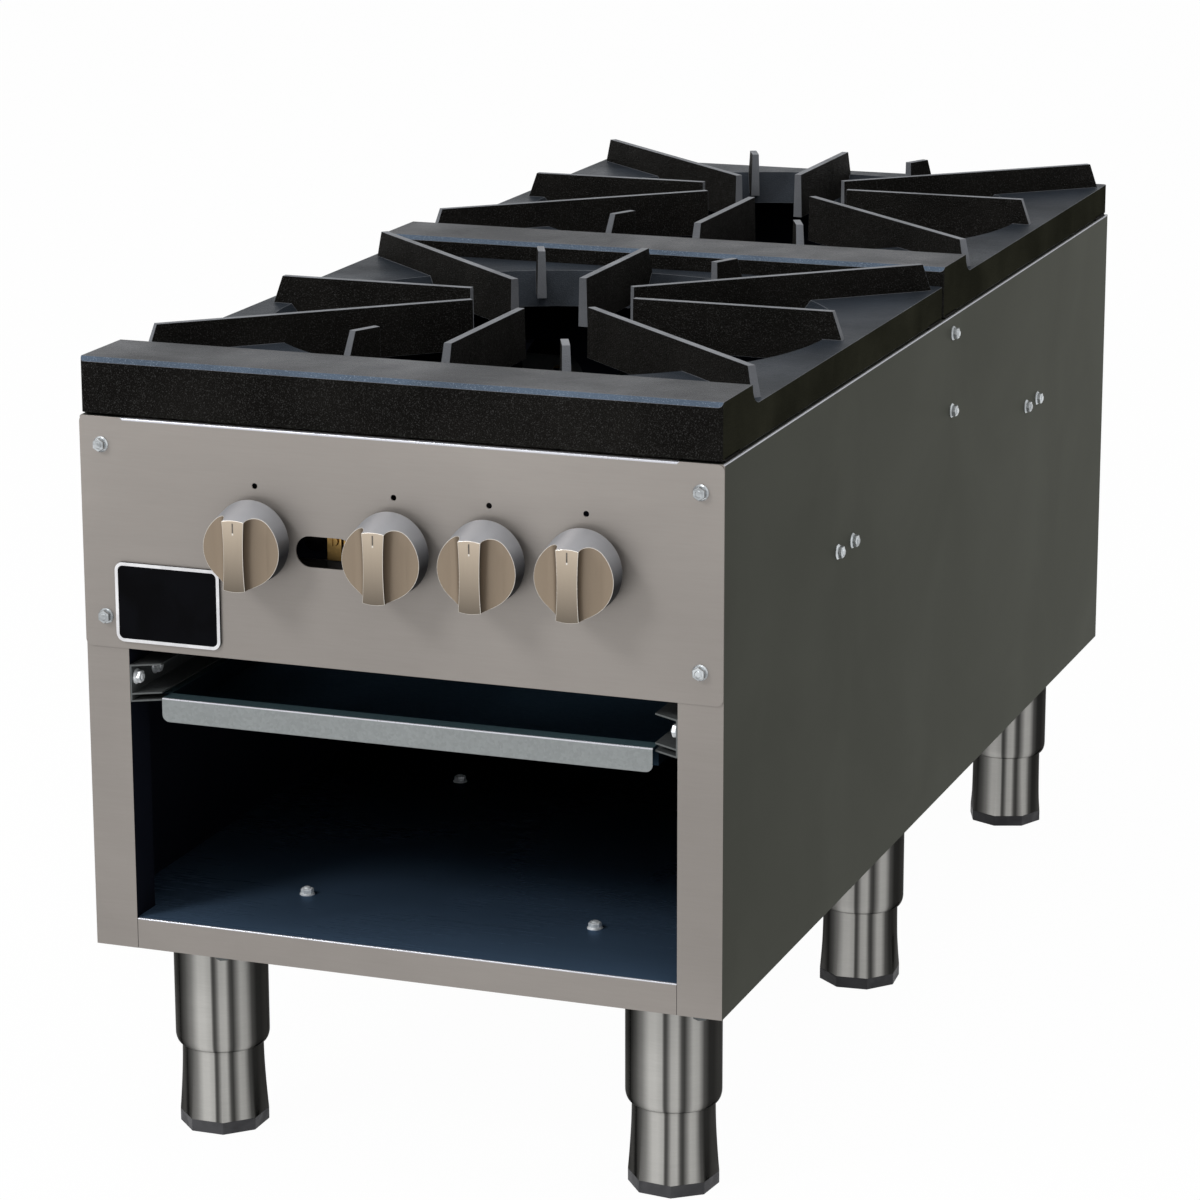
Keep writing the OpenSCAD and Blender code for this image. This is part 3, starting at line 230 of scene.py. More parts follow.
def new_group(name, numbers, results):
    """A shader node group: a vector and named numbers go in, named results come out."""
    tree = bpy.data.node_groups.new(name, "ShaderNodeTree")
    tree.interface.new_socket(name="Vector", in_out="INPUT", socket_type="NodeSocketVector")
    for socket, default in numbers.items():
        made = tree.interface.new_socket(name=socket, in_out="INPUT", socket_type="NodeSocketFloat")
        made.default_value = default
    for socket in results:
        tree.interface.new_socket(name=socket, in_out="OUTPUT", socket_type="NodeSocketFloat")
    return tree, tree.nodes.new("NodeGroupInput").outputs, tree.nodes.new("NodeGroupOutput").inputs


def group_brushed_grain():
    """Fine parallel scratches: the vector comes in stretched along the brushing."""
    tree, given, made = new_group("brushed_grain", {"Scale": 900.0, "Contrast": 0.3}, ("Grain", "Height"))
    broad_scale, fine_share, broad_share = 0.13, 0.6, 0.4
    fine = noise(tree, given["Vector"], given["Scale"], detail=3.0)
    broad = noise(tree, given["Vector"], arithmetic(tree, "MULTIPLY", given["Scale"], broad_scale), detail=2.0)
    both = arithmetic(tree, "MULTIPLY_ADD", fine, fine_share, arithmetic(tree, "MULTIPLY", broad, broad_share))
    centred = arithmetic(tree, "SUBTRACT", both, 0.5)
    plug(tree, made["Grain"], arithmetic(tree, "MULTIPLY_ADD", centred, given["Contrast"], 0.5))
    plug(tree, made["Height"], both)
    return tree


def group_smudges():
    """Large soft patches, as of handling and uneven polish."""
    tree, given, made = new_group("smudges", {"Scale": 6.0, "Low": 0.35, "High": 0.65}, ("Mask",))
    patch = noise(tree, given["Vector"], given["Scale"], detail=4.0, distortion=0.6)
    mask = remap(tree, patch, given["Low"], given["High"], 0.0, 1.0, interpolation_type="SMOOTHSTEP")
    plug(tree, made["Mask"], mask)
    return tree


def group_cast_skin():
    """The skin of a sand casting: coarse lumps, fine sand grain and a mask for painted glints on the tips of its
    grains.
    """
    lump_share, mottle_scale, tip_from, tip_to = 0.9, 14.0, 0.54, 0.68
    tree, given, made = new_group(
        "cast_skin", {"Grain Size": 1150.0, "Lump Size": 130.0, "Grain": 0.6}, ("Height", "Mottle", "Glint")
    )
    vector, size = given["Vector"], given["Grain Size"]
    sand = noise(tree, vector, size, detail=4.0, roughness=0.65)
    cells = place(tree, "ShaderNodeTexVoronoi", {"Vector": vector, "Scale": size}, feature="SMOOTH_F1")
    lumps = noise(tree, vector, given["Lump Size"], detail=3.0)
    rough = arithmetic(tree, "SUBTRACT", sand, cells.outputs["Distance"])
    grainy = arithmetic(tree, "MULTIPLY", rough, given["Grain"])
    plug(tree, made["Height"], arithmetic(tree, "MULTIPLY_ADD", lumps, lump_share, grainy))
    plug(tree, made["Mottle"], noise(tree, vector, mottle_scale, detail=5.0, distortion=0.4))
    plug(tree, made["Glint"], remap(tree, sand, tip_from, tip_to, 0.0, 1.0))
    return tree


def group_spangle():
    """The crystal pattern of hot-dip zinc under a soft cloud."""
    tree, given, made = new_group("zinc_spangle", {"Scale": 220.0}, ("Shade", "Height"))
    crystal_share, cloud_share, cloud_scale = 0.45, 0.55, 25.0
    crystal = place(tree, "ShaderNodeTexVoronoi", {"Vector": given["Vector"], "Scale": given["Scale"]})
    split = place(tree, "ShaderNodeSeparateColor", {"Color": crystal.outputs["Color"]})
    cloud = arithmetic(tree, "MULTIPLY", noise(tree, given["Vector"], cloud_scale, detail=4.0), cloud_share)
    plug(tree, made["Shade"], arithmetic(tree, "MULTIPLY_ADD", split.outputs[0], crystal_share, cloud))
    plug(tree, made["Height"], crystal.outputs["Distance"])
    return tree


GROUP_MAKERS = {
    "brushed_grain": group_brushed_grain,
    "smudges": group_smudges,
    "cast_skin": group_cast_skin,
    "zinc_spangle": group_spangle,
}


def use_group(tree, name, vector, **sockets):
    """Places a shared node group, made at its first use, and gives its outputs."""
    node = tree.nodes.new("ShaderNodeGroup")
    node.node_tree = bpy.data.node_groups.get(name) or GROUP_MAKERS[name]()
    plug(tree, node.inputs["Vector"], vector)
    for socket, value in sockets.items():
        plug(tree, node.inputs[socket.title()], value)
    return node.outputs


FINISH = "finish_"


def feed(tree, shader, **surface):
    """Sets or links the sockets of a shader, named by keyword."""
    for name, value in surface.items():
        plug(tree, shader.inputs[name.replace("_", " ").title().replace("Ior", "IOR")], value)


def new_material(name, **surface):
    """A material with one Principled BSDF whose plain sockets are set from keywords."""
    material = bpy.data.materials.new(FINISH + name)
    material.use_nodes = True
    tree = material.node_tree
    shader = tree.nodes["Principled BSDF"]
    feed(tree, shader, **surface)
    return material, tree, shader


def object_vector(tree, scale=EVENLY):
    """Object coordinates in metres, scaled along each axis."""
    coordinates = tree.nodes.new("ShaderNodeTexCoord")
    return place(tree, "ShaderNodeMapping", {"Vector": coordinates.outputs["Object"], "Scale": scale}).outputs[0]


def bump(tree, shader, height, distance, strength=1.0):
    node = place(tree, "ShaderNodeBump", {"Height": height, "Distance": distance, "Strength": strength})
    feed(tree, shader, normal=node.outputs["Normal"])


def shades(colour, factor):
    return tuple(min(1.0, c * factor) for c in colour)


# ---------------------------------------------------------------- finishes


# The darkest and lightest part of a finish, as shares of its colour
SPANGLE_TONES, IRON_TONES, TURNED_TONES = (0.86, 1.12), (0.75, 1.35), (0.86, 1.1)
GRAIN_DEPTH, SPANGLE_DEPTH, TURNED_DEPTH = 0.00004, 0.00008, 0.00003
SHEET_SURFACE = {"specular_ior_level": 0.0, "specular_tint": (0.45, 0.45, 0.45)}


def brushed(name, colour, along=EVENLY, roughness=0.38, metallic=0.6, contrast=0.16, patch=0.10, fade=None):
    """Brushed sheet: the grain is stretched along the axes whose scale is small.

    A painted shade is (axis, start, end, factor): the colour is multiplied by the factor at the start, by one at the
    end, as painted light and shade along the axis.
    """
    material, tree, shader = new_material(name, metallic=metallic, **SHEET_SURFACE)
    grain = use_group(tree, "brushed_grain", object_vector(tree, along), scale=700.0, contrast=1.0)
    smudge = use_group(tree, "smudges", object_vector(tree), scale=5.0, low=0.3, high=0.7)["Mask"]
    base = mix_colour(tree, grain["Grain"], shades(colour, 1 - contrast), shades(colour, 1 + contrast))
    toned = mix_colour(tree, 1.0, base, mix_colour(tree, smudge, shades(WHITE, 1 - patch), WHITE), "MULTIPLY")
    # Painted shade: the colour darkens along one axis as the light falls off
    if fade:
        axis, start, end, factor = fade
        split = place(tree, "ShaderNodeSeparateXYZ", {"Vector": object_vector(tree)})
        share = remap(tree, split.outputs[axis], start * MM, end * MM, 0.0, 1.0)
        toned = mix_colour(tree, 1.0, toned, mix_colour(tree, share, shades(WHITE, factor), WHITE), "MULTIPLY")
    grain_roughness, polish = 0.10, 0.05
    rough = arithmetic(tree, "MULTIPLY_ADD", grain["Grain"], grain_roughness, roughness - grain_roughness / 2)
    rough = arithmetic(tree, "MULTIPLY_ADD", smudge, -polish, rough)
    feed(tree, shader, base_color=toned, roughness=rough)
    bump(tree, shader, grain["Height"], GRAIN_DEPTH)
    return material


def galvanized_sheet(name, colour, share=1.0):
    """Zinc-coated sheet with its spangle."""
    material, tree, shader = new_material(name, metallic=0.55, **SHEET_SURFACE)
    spangle = use_group(tree, "zinc_spangle", object_vector(tree), scale=520.0)
    colour, shade = shades(colour, share), spangle["Shade"]
    base = mix_colour(tree, shade, *(shades(colour, tone) for tone in SPANGLE_TONES))
    feed(tree, shader, base_color=base, roughness=remap(tree, shade, 0.0, 1.0, 0.46, 0.34))
    bump(tree, shader, spangle["Height"], SPANGLE_DEPTH, 0.5)
    return material


def smudged(name, colour, scale, tones=(1.0, 1.0), light=None, rough=None, **surface):
    """A finish with soft patches between two tones, and with a roughness for each when rough is given."""
    material, tree, shader = new_material(name, **surface)
    mask = use_group(tree, "smudges", object_vector(tree), scale=scale)["Mask"]
    base = mix_colour(tree, mask, shades(colour, tones[0]), light or shades(colour, tones[1]))
    feed(tree, shader, base_color=base)
    if rough:
        feed(tree, shader, roughness=remap(tree, mask, 0.0, 1.0, *rough))
    return material


def cast_iron(name, colour, worn, depth=0.0006, roughness=0.42, wear=0.0, glint=0.25, specular=0.04):
    """Cast iron with a sandy skin, mottled by old coating, with painted glints on the tips of its grains in the colour
    of its wear.
    """
    material, tree, shader = new_material(name, metallic=0.0, specular_ior_level=specular)
    skin = use_group(tree, "cast_skin", object_vector(tree))
    mottle = remap(tree, skin["Mottle"], 0.35, 0.70, 0.0, 1.0)
    mottled = mix_colour(tree, mottle, *(shades(colour, tone) for tone in IRON_TONES))
    # Painted glints and real wear share one lighter colour
    glint_and_wear = arithmetic(tree, "MAXIMUM", arithmetic(tree, "MULTIPLY", skin["Glint"], glint), wear)
    rough = remap(tree, skin["Mottle"], 0.3, 0.7, roughness + 0.06, roughness - 0.08)
    feed(tree, shader, base_color=mix_colour(tree, glint_and_wear, mottled, worn), roughness=rough)
    bump(tree, shader, skin["Height"], depth)
    return material


# Reflection bands round a leg: degrees from its front and how bright each is
LEG_BANDS = (
    (-180, 0.40), (-145, 0.60), (-125, 0.45), (-105, 0.25), (-75, 0.34), (-62, 0.19), (-50, 0.34), (-40, 0.50),
    (-30, 0.73), (-22, 0.74), (-14, 0.67), (-12, 0.30), (-9, 0.29), (-6, 0.49), (-3, 0.67), (4, 0.70), (7, 0.50),
    (9, 0.31), (13, 0.25), (18, 0.50), (23, 0.68), (30, 0.655), (38, 0.32), (46, 0.19), (55, 0.21), (65, 0.29),
    (80, 0.32), (105, 0.35), (130, 0.62), (160, 0.50), (180, 0.40),
)
LEG_TINT = (1.0, 0.985, 0.94)
SCREEN_GAMMA = 2.2


def turned_tube(name, colour):
    """Turned tube: fine rings round it and painted reflection bands along it, read from each leg's own axis."""
    material, tree, shader = new_material(
        name, metallic=0.6, specular_ior_level=0.0, specular_tint=(0.3, 0.3, 0.3)
    )
    own = place(tree, "ShaderNodeAttribute", attribute_type="GEOMETRY", attribute_name="leg_place").outputs["Vector"]
    split = place(tree, "ShaderNodeSeparateXYZ", {"Vector": own}).outputs
    turn = arithmetic(tree, "ARCTAN2", split["X"], arithmetic(tree, "MULTIPLY", split["Y"], -1.0))
    ramp = place(tree, "ShaderNodeValToRGB", {"Fac": arithmetic(tree, "MULTIPLY_ADD", turn, 1 / FULL_TURN, 0.5)})
    stops = ramp.color_ramp.elements
    stops.remove(stops[1])
    for i, (degrees, level) in enumerate(LEG_BANDS):
        position = degrees / 360 + 0.5
        stop = stops[0] if i == 0 else stops.new(position)
        stop.position = position
        stop.color = (*(level**SCREEN_GAMMA * part for part in colour), 1.0)
    stretched = place(tree, "ShaderNodeMapping", {"Vector": own, "Scale": (0.08, 0.08, 1.0)}).outputs[0]
    grain = use_group(tree, "brushed_grain", stretched, scale=1400.0, contrast=1.0)
    grained = mix_colour(tree, grain["Grain"], *((tone,) * 3 for tone in TURNED_TONES))
    base = mix_colour(tree, 1.0, ramp.outputs["Color"], grained, "MULTIPLY")
    feed(tree, shader, base_color=base, roughness=remap(tree, grain["Grain"], 0.0, 1.0, 0.28, 0.40))
    bump(tree, shader, grain["Height"], TURNED_DEPTH)
    return material


# A painted shade along one axis of a brushed finish
def painted_shading(axis, start, end, factor):
    return {"fade": ("xyz".index(axis), start, end, factor)}


PANEL_BRUSH = {"along": (0.06, 1.0, 1.0), "roughness": 0.42, "contrast": 0.07}
SIDE_BRUSH = {"along": (1.0, 0.06, 1.0), "roughness": 0.45, "metallic": 0.5, "contrast": 0.10}
INNER_BRUSH = {"along": (0.08, 0.08, 1.0), "roughness": 0.42, "metallic": 0.3, "contrast": 0.15, "patch": 0.3}
SHELF_BRUSH = {"along": (0.06, 1.0, 1.0), "roughness": 0.30, "contrast": 0.10, "patch": 0.2}
KNOB_BRUSH = {"along": (1.0, 1.0, 0.1), "roughness": 0.36, "contrast": 0.05, "patch": 0.04}
KNOB_MID_Z = (KNOB_LOW.z + KNOB_HIGH.z) / 2
KNOB_FLOOR = 16.0
# Each finish: its maker, its colour or the colour's name in the panel, and the maker's other values
FINISHES = {
    # The front: painted shade, darker towards the bottom
    "front_steel": (brushed, "front_steel", PANEL_BRUSH | painted_shading("z", PANEL_LOW.z - 30, PANEL_HIGH.z, 0.84)),
    # The sides: painted shade, darker than the front and darker still towards the front edge
    "side_steel": (brushed, "side_steel", SIDE_BRUSH | painted_shading("y", FRONT_Y, SIDE_HIGH.y, 0.72)),
    # Hems and folds: painted highlight along the bend
    "bright_edge": (brushed, (0.66, 0.67, 0.72), {"roughness": 0.3, "contrast": 0.05}),
    # Sheets inside the bays, the leg rails and the air shutters: painted shade, near black
    "inner_steel": (brushed, "inner_steel", INNER_BRUSH),
    # Shelf top: painted blue reflection, and painted shade darkening it towards the back of the bay
    "shelf_steel": (brushed, "shelf_steel", SHELF_BRUSH | painted_shading("y", FRONT_Y + 380, FRONT_Y + 10, 0.10)),
    # Grip face: painted shade, darker towards the bottom
    "knob_metal": (brushed, "knob", KNOB_BRUSH | painted_shading("z", KNOB_LOW.z, KNOB_HIGH.z - 8, 0.30)),
    # Upper slopes: painted light and reflection on top, painted shade darkening the lower sides
    "knob_shoulder": (
        brushed,
        "knob_shoulder",
        KNOB_BRUSH | {"along": (0.2, 1.0, 0.2)} | painted_shading("z", KNOB_MID_Z - 6, KNOB_HIGH.z - 14, 0.14),
    ),
    # Scoops: painted shade, darkest on the wall beside the grip's face
    "knob_scoop": (
        brushed, (0.30, 0.24, 0.18), KNOB_BRUSH | painted_shading("y", KNOB_LOW.y, KNOB_HIGH.y - KNOB_FLOOR - 1.0, 0.40)
    ),
    # Knobs' rounded edges and the pointer's tip: painted highlight
    "knob_edge": (brushed, (0.80, 0.76, 0.70), {"roughness": 0.3, "contrast": 0.04, "patch": 0.04}),
    "galvanized": (galvanized_sheet, "galvanized", {}),
    # Zinc painted darker for the shade in the bay and under the rails
    "channel_zinc": (galvanized_sheet, "galvanized", {"share": 0.45}),
    # Inside of the tray: painted shade, near black with a blue reflection of the dark bay
    "tray_inside": (galvanized_sheet, (0.018, 0.033, 0.050), {}),
    # Top of the tray's rim: painted shade, darker and bluer than the zinc
    "tray_rim": (galvanized_sheet, (0.080, 0.135, 0.155), {}),
    "zinc_plate": (smudged, "zinc", {"scale": 120.0, "tones": (0.6, 1.15), "rough": (0.38, 0.24), "metallic": 0.85}),
    # Zinc in the dark bay is less of a mirror and painted near white, as painted highlights, so that it doesn't go
    # black there
    "bay_zinc": (
        smudged,
        (0.55, 0.58, 0.60),
        {"scale": 120.0, "light": (0.95, 0.98, 1.0), "metallic": 0.25, "roughness": 0.3},
    ),
    "brass": (smudged, "brass", {"scale": 90.0, "tones": (0.5, 1.2), "rough": (0.42, 0.28), "metallic": 0.9}),
    "iron_rough": (
        cast_iron,
        "iron",
        {"worn": (0.11, 0.11, 0.107), "depth": 0.0016, "roughness": 0.50, "glint": 0.45, "specular": 0.01},
    ),
    # Level faces of the grates: smoother iron with a painted bluish sky reflection
    "iron_smooth": (cast_iron, "iron_top", {"worn": (0.10, 0.11, 0.13), "depth": 0.0004, "glint": 0.2}),
    # Top of the front rails: lighter than the rest of the casting
    "iron_rail": (cast_iron, "iron_rail", {"worn": (0.16, 0.16, 0.17), "glint": 0.35}),
    # Edges, fin tops and fin ends: wear, and a painted highlight where they catch the light
    "iron_edge": (
        cast_iron, (0.125, 0.131, 0.143), {"worn": (0.24, 0.25, 0.27), "depth": 0.0004, "wear": 0.15, "glint": 0.5}
    ),
    # The rail's chamfer: a painted bluish reflection of the sky
    "iron_chamfer": (cast_iron, (0.050, 0.074, 0.110), {"worn": (0.30, 0.36, 0.44), "wear": 0.1, "glint": 0.7}),
    # The right-facing side: its own painted tone for the light and shade it gets
    "iron_shade": (
        cast_iron,
        (0.026, 0.026, 0.018),
        {"worn": (0.07, 0.07, 0.05), "depth": 0.0016, "roughness": 0.5, "glint": 0.3, "specular": 0.0},
    ),
    "burner_iron": (cast_iron, (0.020, 0.019, 0.018), {"worn": (0.10, 0.09, 0.08), "roughness": 0.6, "glint": 0.2}),
    # Burner ports: painted shade, near black
    "port_dark": (
        smudged,
        (0.002, 0.002, 0.002),
        {"scale": 60.0, "light": (0.010, 0.008, 0.006), "metallic": 0.0, "roughness": 0.9},
    ),
    "black_pipe": (
        smudged,
        (0.016, 0.015, 0.015),
        {
            "scale": 40.0, "light": (0.040, 0.036, 0.034), "rough": (0.50, 0.35),
            "metallic": 0.0, "specular_ior_level": 0.3,
        },
    ),
    "gloss_black": (
        smudged,
        (0.0008, 0.0008, 0.0014),
        {
            "scale": 30.0, "light": (0.0020, 0.0022, 0.0035), "rough": (0.30, 0.22),
            "metallic": 0.0, "specular_ior_level": 0.04,
        },
    ),
    "pale_border": (
        smudged,
        (0.70, 0.70, 0.72),
        {"scale": 60.0, "light": (0.86, 0.86, 0.88), "rough": (0.40, 0.30), "metallic": 0.2},
    ),
    "cap_plastic": (
        smudged,
        (0.050, 0.050, 0.054),
        {
            "scale": 50.0, "light": (0.075, 0.075, 0.080), "rough": (0.60, 0.50),
            "metallic": 0.0, "specular_ior_level": 0.2,
        },
    ),
    "mark_dark": (
        smudged,
        (0.10, 0.085, 0.07),
        {"scale": 200.0, "light": (0.16, 0.14, 0.12), "metallic": 0.3, "roughness": 0.5},
    ),
    "leg_steel": (turned_tube, LEG_TINT, {}),
}


def finish(name):
    """A finish by its name, made at its first use."""
    made = bpy.data.materials.get(FINISH + name)
    if made:
        return made
    maker, colour, values = FINISHES[name]
    if isinstance(colour, str):
        colour = getattr(bpy.context.scene.range_colours, colour)
    return maker(name, colour, **values)


# ---------------------------------------------------------------- mesh helpers


def add_object(name, data):
    ob = bpy.data.objects.new(name, data)
    bpy.context.scene.collection.objects.link(ob)
    return ob


def new_mesh(name, bm):
    """A mesh made from a bmesh, which is freed."""
    mesh = bpy.data.meshes.new(name)
    bm.to_mesh(mesh)
    bm.free()
    return mesh


def fresh(bm, before):
    return [v for v in bm.verts if v not in before]


def faces_of(verts):
    return list({f for v in verts for f in v.link_faces})


def edges_of(verts):
    return list({e for v in verts for e in v.link_edges})


def edges_where(bm, chosen):
    """The edges whose two points both pass a test."""
    return [e for e in bm.edges if all(chosen(v.co) for v in e.verts)]


def solid(add, *given):
    """A new bmesh with one thing added to it."""
    bm = bmesh.new()
    add(bm, *given)
    return bm


def add_block(bm, low, high):
    """A box between two corners."""
    made = bmesh.ops.create_cube(bm, size=1.0)["verts"]
    low, high = Vector(low), Vector(high)
    bmesh.ops.scale(bm, vec=high - low, verts=made)
    bmesh.ops.translate(bm, vec=(low + high) / 2, verts=made)
    return made


def add_rod(bm, sides, radius, depth, matrix):
    """A prism with a regular section; the matrix's origin is its middle."""
    return bmesh.ops.create_cone(
        bm, cap_ends=True, cap_tris=False, segments=sides, radius1=radius, radius2=radius, depth=depth, matrix=matrix
    )["verts"]


def add_lathe(bm, outline, steps=ROUND_STEPS, matrix=None, closed=False):
    """Spins (radius, height) points round +Z, then places the result with a matrix."""
    before = set(bm.verts)
    verts = [bm.verts.new((r, 0.0, h)) for r, h in outline]
    pairs = list(zip(verts, verts[1:]))
    if closed:
        pairs.append((verts[-1], verts[0]))
    edges = [bm.edges.new(pair) for pair in pairs]
    bmesh.ops.spin(
        bm,
        geom=verts + edges,
        cent=(0, 0, 0),
        axis=(0, 0, 1),
        dvec=(0, 0, 0),
        angle=FULL_TURN,
        steps=steps,
        use_merge=True,
    )
    bmesh.ops.remove_doubles(bm, verts=fresh(bm, before), dist=1e-4)
    made = fresh(bm, before)
    bmesh.ops.recalc_face_normals(bm, faces=faces_of(made))
    if matrix is not None:
        bmesh.ops.transform(bm, matrix=matrix, verts=made)
    return made


def add_prism(bm, outline, depth, matrix):
    """Extrudes an outline of (x, y) points along +Z by depth, then places it with a matrix."""
    before = set(bm.verts)
    face = bm.faces.new([bm.verts.new((x, y, 0.0)) for x, y in outline])
    raised = bmesh.ops.extrude_face_region(bm, geom=[face])["geom"]
    bmesh.ops.translate(bm, vec=(0, 0, depth), verts=[g for g in raised if isinstance(g, bmesh.types.BMVert)])
    made = fresh(bm, before)
    bmesh.ops.recalc_face_normals(bm, faces=faces_of(made))
    bmesh.ops.transform(bm, matrix=matrix, verts=made)
    return made


def turned(axis, at):
    """The matrix that lays +Z along an axis and moves the origin to a point."""
    turn = Vector((0, 0, 1)).rotation_difference(Vector(axis)).to_matrix().to_4x4()
    return Matrix.Translation(Vector(at)) @ turn


def cut_edges(bm, at, normal):
    """New edges where a plane crosses the mesh."""
    bmesh.ops.bisect_plane(bm, geom=bm.verts[:] + bm.edges[:] + bm.faces[:], plane_co=at, plane_no=normal)


def merge_flat(bm, degrees):
    bmesh.ops.dissolve_limit(bm, angle_limit=math.radians(degrees), verts=bm.verts, edges=bm.edges)


def round_edges(bm, width, above=35, segments=2, material=-1, edges=None):
    """Rounds the edges given, or all that bend by more than an angle; gives the new points."""
    if edges is None:
        limit = math.radians(above)
        edges = [e for e in bm.edges if len(e.link_faces) == 2 and e.calc_face_angle(0.0) > limit]
    if not edges:
        return []
    return bmesh.ops.bevel(
        bm,
        geom=edges,
        offset=width,
        offset_type="OFFSET",
        segments=segments,
        profile=0.5,
        affect="EDGES",
        clamp_overlap=True,
        material=material,
    )["verts"]


def cad_copy(node):
    """The mesh of a CAD node in millimetres, welded, with its flat faces made whole."""
    bm = bmesh.new()
    bm.from_mesh(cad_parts[node].data)
    bmesh.ops.scale(bm, vec=(1 / MM,) * 3, verts=bm.verts)
    bmesh.ops.remove_doubles(bm, verts=bm.verts, dist=0.003)
    merge_flat(bm, 0.5)
    return bm


def islands(node):
    """Lowest and highest corner of each separate solid in a CAD node, in millimetres."""
    bm = cad_copy(node)
    seen, found = set(), []
    for start in bm.verts:
        if start in seen:
            continue
        stack, group = [start], []
        seen.add(start)
        while stack:
            vert = stack.pop()
            group.append(vert.co.copy())
            for other in (edge.other_vert(vert) for edge in vert.link_edges):
                if other not in seen:
                    seen.add(other)
                    stack.append(other)
        found.append(tuple(Vector([end(p[i] for p in group) for i in range(3)]) for end in (min, max)))
    bm.free()
    return found


def combine(first, second, operation):
    """The boolean of two meshes as a new bmesh; both are freed."""
    made = [add_object("part", new_mesh("part", bm)) for bm in (first, second)]
    modifier = made[0].modifiers.new("combine", "BOOLEAN")
    modifier.operation = operation
    modifier.solver = "EXACT"
    modifier.object = made[1]
    graph = bpy.context.evaluated_depsgraph_get()
    result = bpy.data.meshes.new_from_object(made[0].evaluated_get(graph))
    bm = bmesh.new()
    bm.from_mesh(result)
    for ob in made:
        mesh = ob.data
        bpy.data.objects.remove(ob)
        bpy.data.meshes.remove(mesh)
    bpy.data.meshes.remove(result)
    bmesh.ops.remove_doubles(bm, verts=bm.verts, dist=1e-3)
    bmesh.ops.dissolve_degenerate(bm, dist=1e-3, edges=bm.edges)
    return bm


def make_piece(name, bm, body, finishes, nodes=(), smooth=30):
    """Turns a bmesh in millimetres into an object that rides on a body."""
    bmesh.ops.scale(bm, vec=(MM,) * 3, verts=bm.verts)
    limit = math.radians(smooth)
    for face in bm.faces:
        face.smooth = True
    for edge in bm.edges:
        edge.smooth = len(edge.link_faces) == 2 and edge.calc_face_angle(0.0) < limit
    mesh = new_mesh(name, bm)
    for each in finishes:
        mesh.materials.append(finish(each))
    ob = add_object(name, mesh)
    ob.modifiers.new("even_shading", "WEIGHTED_NORMAL").keep_sharp = True
    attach(ob, body)
    if nodes:
        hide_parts(*nodes)
    return ob


def dress(node, look, body="cabinet", width=None):
    """A CAD node in one finish with rounded edges."""
    bm = cad_copy(node)
    round_edges(bm, rounding("sheet") if width is None else width)
    return make_piece(node + "_dressed", bm, body, (look,), (node,))


# ---------------------------------------------------------------- sheets


HEM_R, PANEL_HEM_R, SKIN = 1.0, 1.8, 0.02
HEM_LEFT, HEM_RIGHT = -196.5, 196.5
BORDER_DEPTH = 0.2


def build_sheet(node, looks, paint, hem=None, width=None, cuts=()):
    """A folded sheet: paint(face) numbers its finishes.

    A hem is (test of its points, radius, finish); cuts are the places along x where a hem ends.
    """
    bm = cad_copy(node)
    for x in cuts:
        cut_edges(bm, (x, 0, 0), (1, 0, 0))
    for face in bm.faces:
        face.material_index = paint(face)
    if hem:
        at_hem, radius, look = hem
        round_edges(bm, radius, material=look, edges=edges_where(bm, at_hem))
    round_edges(bm, width or rounding("sheet"))
    make_piece(node + "_dressed", bm, "cabinet", looks, (node,))


def on_front(face):
    return face.normal.y < -FACING and face.calc_center_median().y < FRONT_Y + 2 * SHEET


def paint_side(face):
    """Front faces 0, outer faces 1 in the sides' painted shade, faces towards the bays 2 in the bays' painted shade.
    """
    inward = face.normal.x * face.calc_center_median().x < 0
    return 0 if on_front(face) else 2 if inward and abs(face.normal.x) > 0.5 else 1


def paint_shelf(face):
    return 0 if on_front(face) else 1 if face.normal.z > FACING else 2


def side_hem(point):
    return point.z > SIDE_HIGH.z - SKIN and abs(point.x) > SIDE_HIGH.x - SKIN


def shelf_hem(point):
    return point.z > SHELF_HIGH.z - SKIN and point.y < SHELF_LOW.y + SKIN


def panel_hem(point):
    on_top = point.z > PANEL_HIGH.z - SKIN and point.y < FRONT_Y + SKIN
    return on_top and HEM_LEFT - 1 < point.x < HEM_RIGHT + 1


def paint_panel(face):
    return 2 if face.normal.y > 0.5 else 0


def paint_back(face):
    return 1 if face.normal.y < -0.5 else 0


def build_sheets():
    # The hems' rounded bends carry a painted highlight
    looks = ("front_steel", "side_steel", "inner_steel", "bright_edge")
    for side in ("left", "right"):
        build_sheet(side + "_side_panel", looks, paint_side, (side_hem, HEM_R, 3))
    looks = ("front_steel", "shelf_steel", "inner_steel", "bright_edge")
    build_sheet("bottom_shelf", looks, paint_shelf, (shelf_hem, HEM_R, 3))
    looks = ("front_steel", "bright_edge", "inner_steel")
    hem = (panel_hem, PANEL_HEM_R, 1)
    build_sheet("control_panel", looks, paint_panel, hem, cuts=(HEM_LEFT, HEM_RIGHT))
    build_sheet("rear_panel", ("side_steel", "inner_steel"), paint_back)
    for node in ("middle_divider", "front_burner_support", "rear_burner_support", "left_leg_rail", "right_leg_rail"):
        dress(node, "inner_steel")


def build_blank_plate():
    """Black plate with a pale raised border and nothing on it."""
    border_y = node_box("blank_plate")[0].y + BORDER_DEPTH

    def paint(face):
        return 1 if face.normal.y < -0.5 and face.calc_center_median().y < border_y else 0

    build_sheet("blank_plate", ("gloss_black", "pale_border"), paint, width=0.25)


# ---------------------------------------------------------------- tray


TRAY_CORNER_R = 5.0


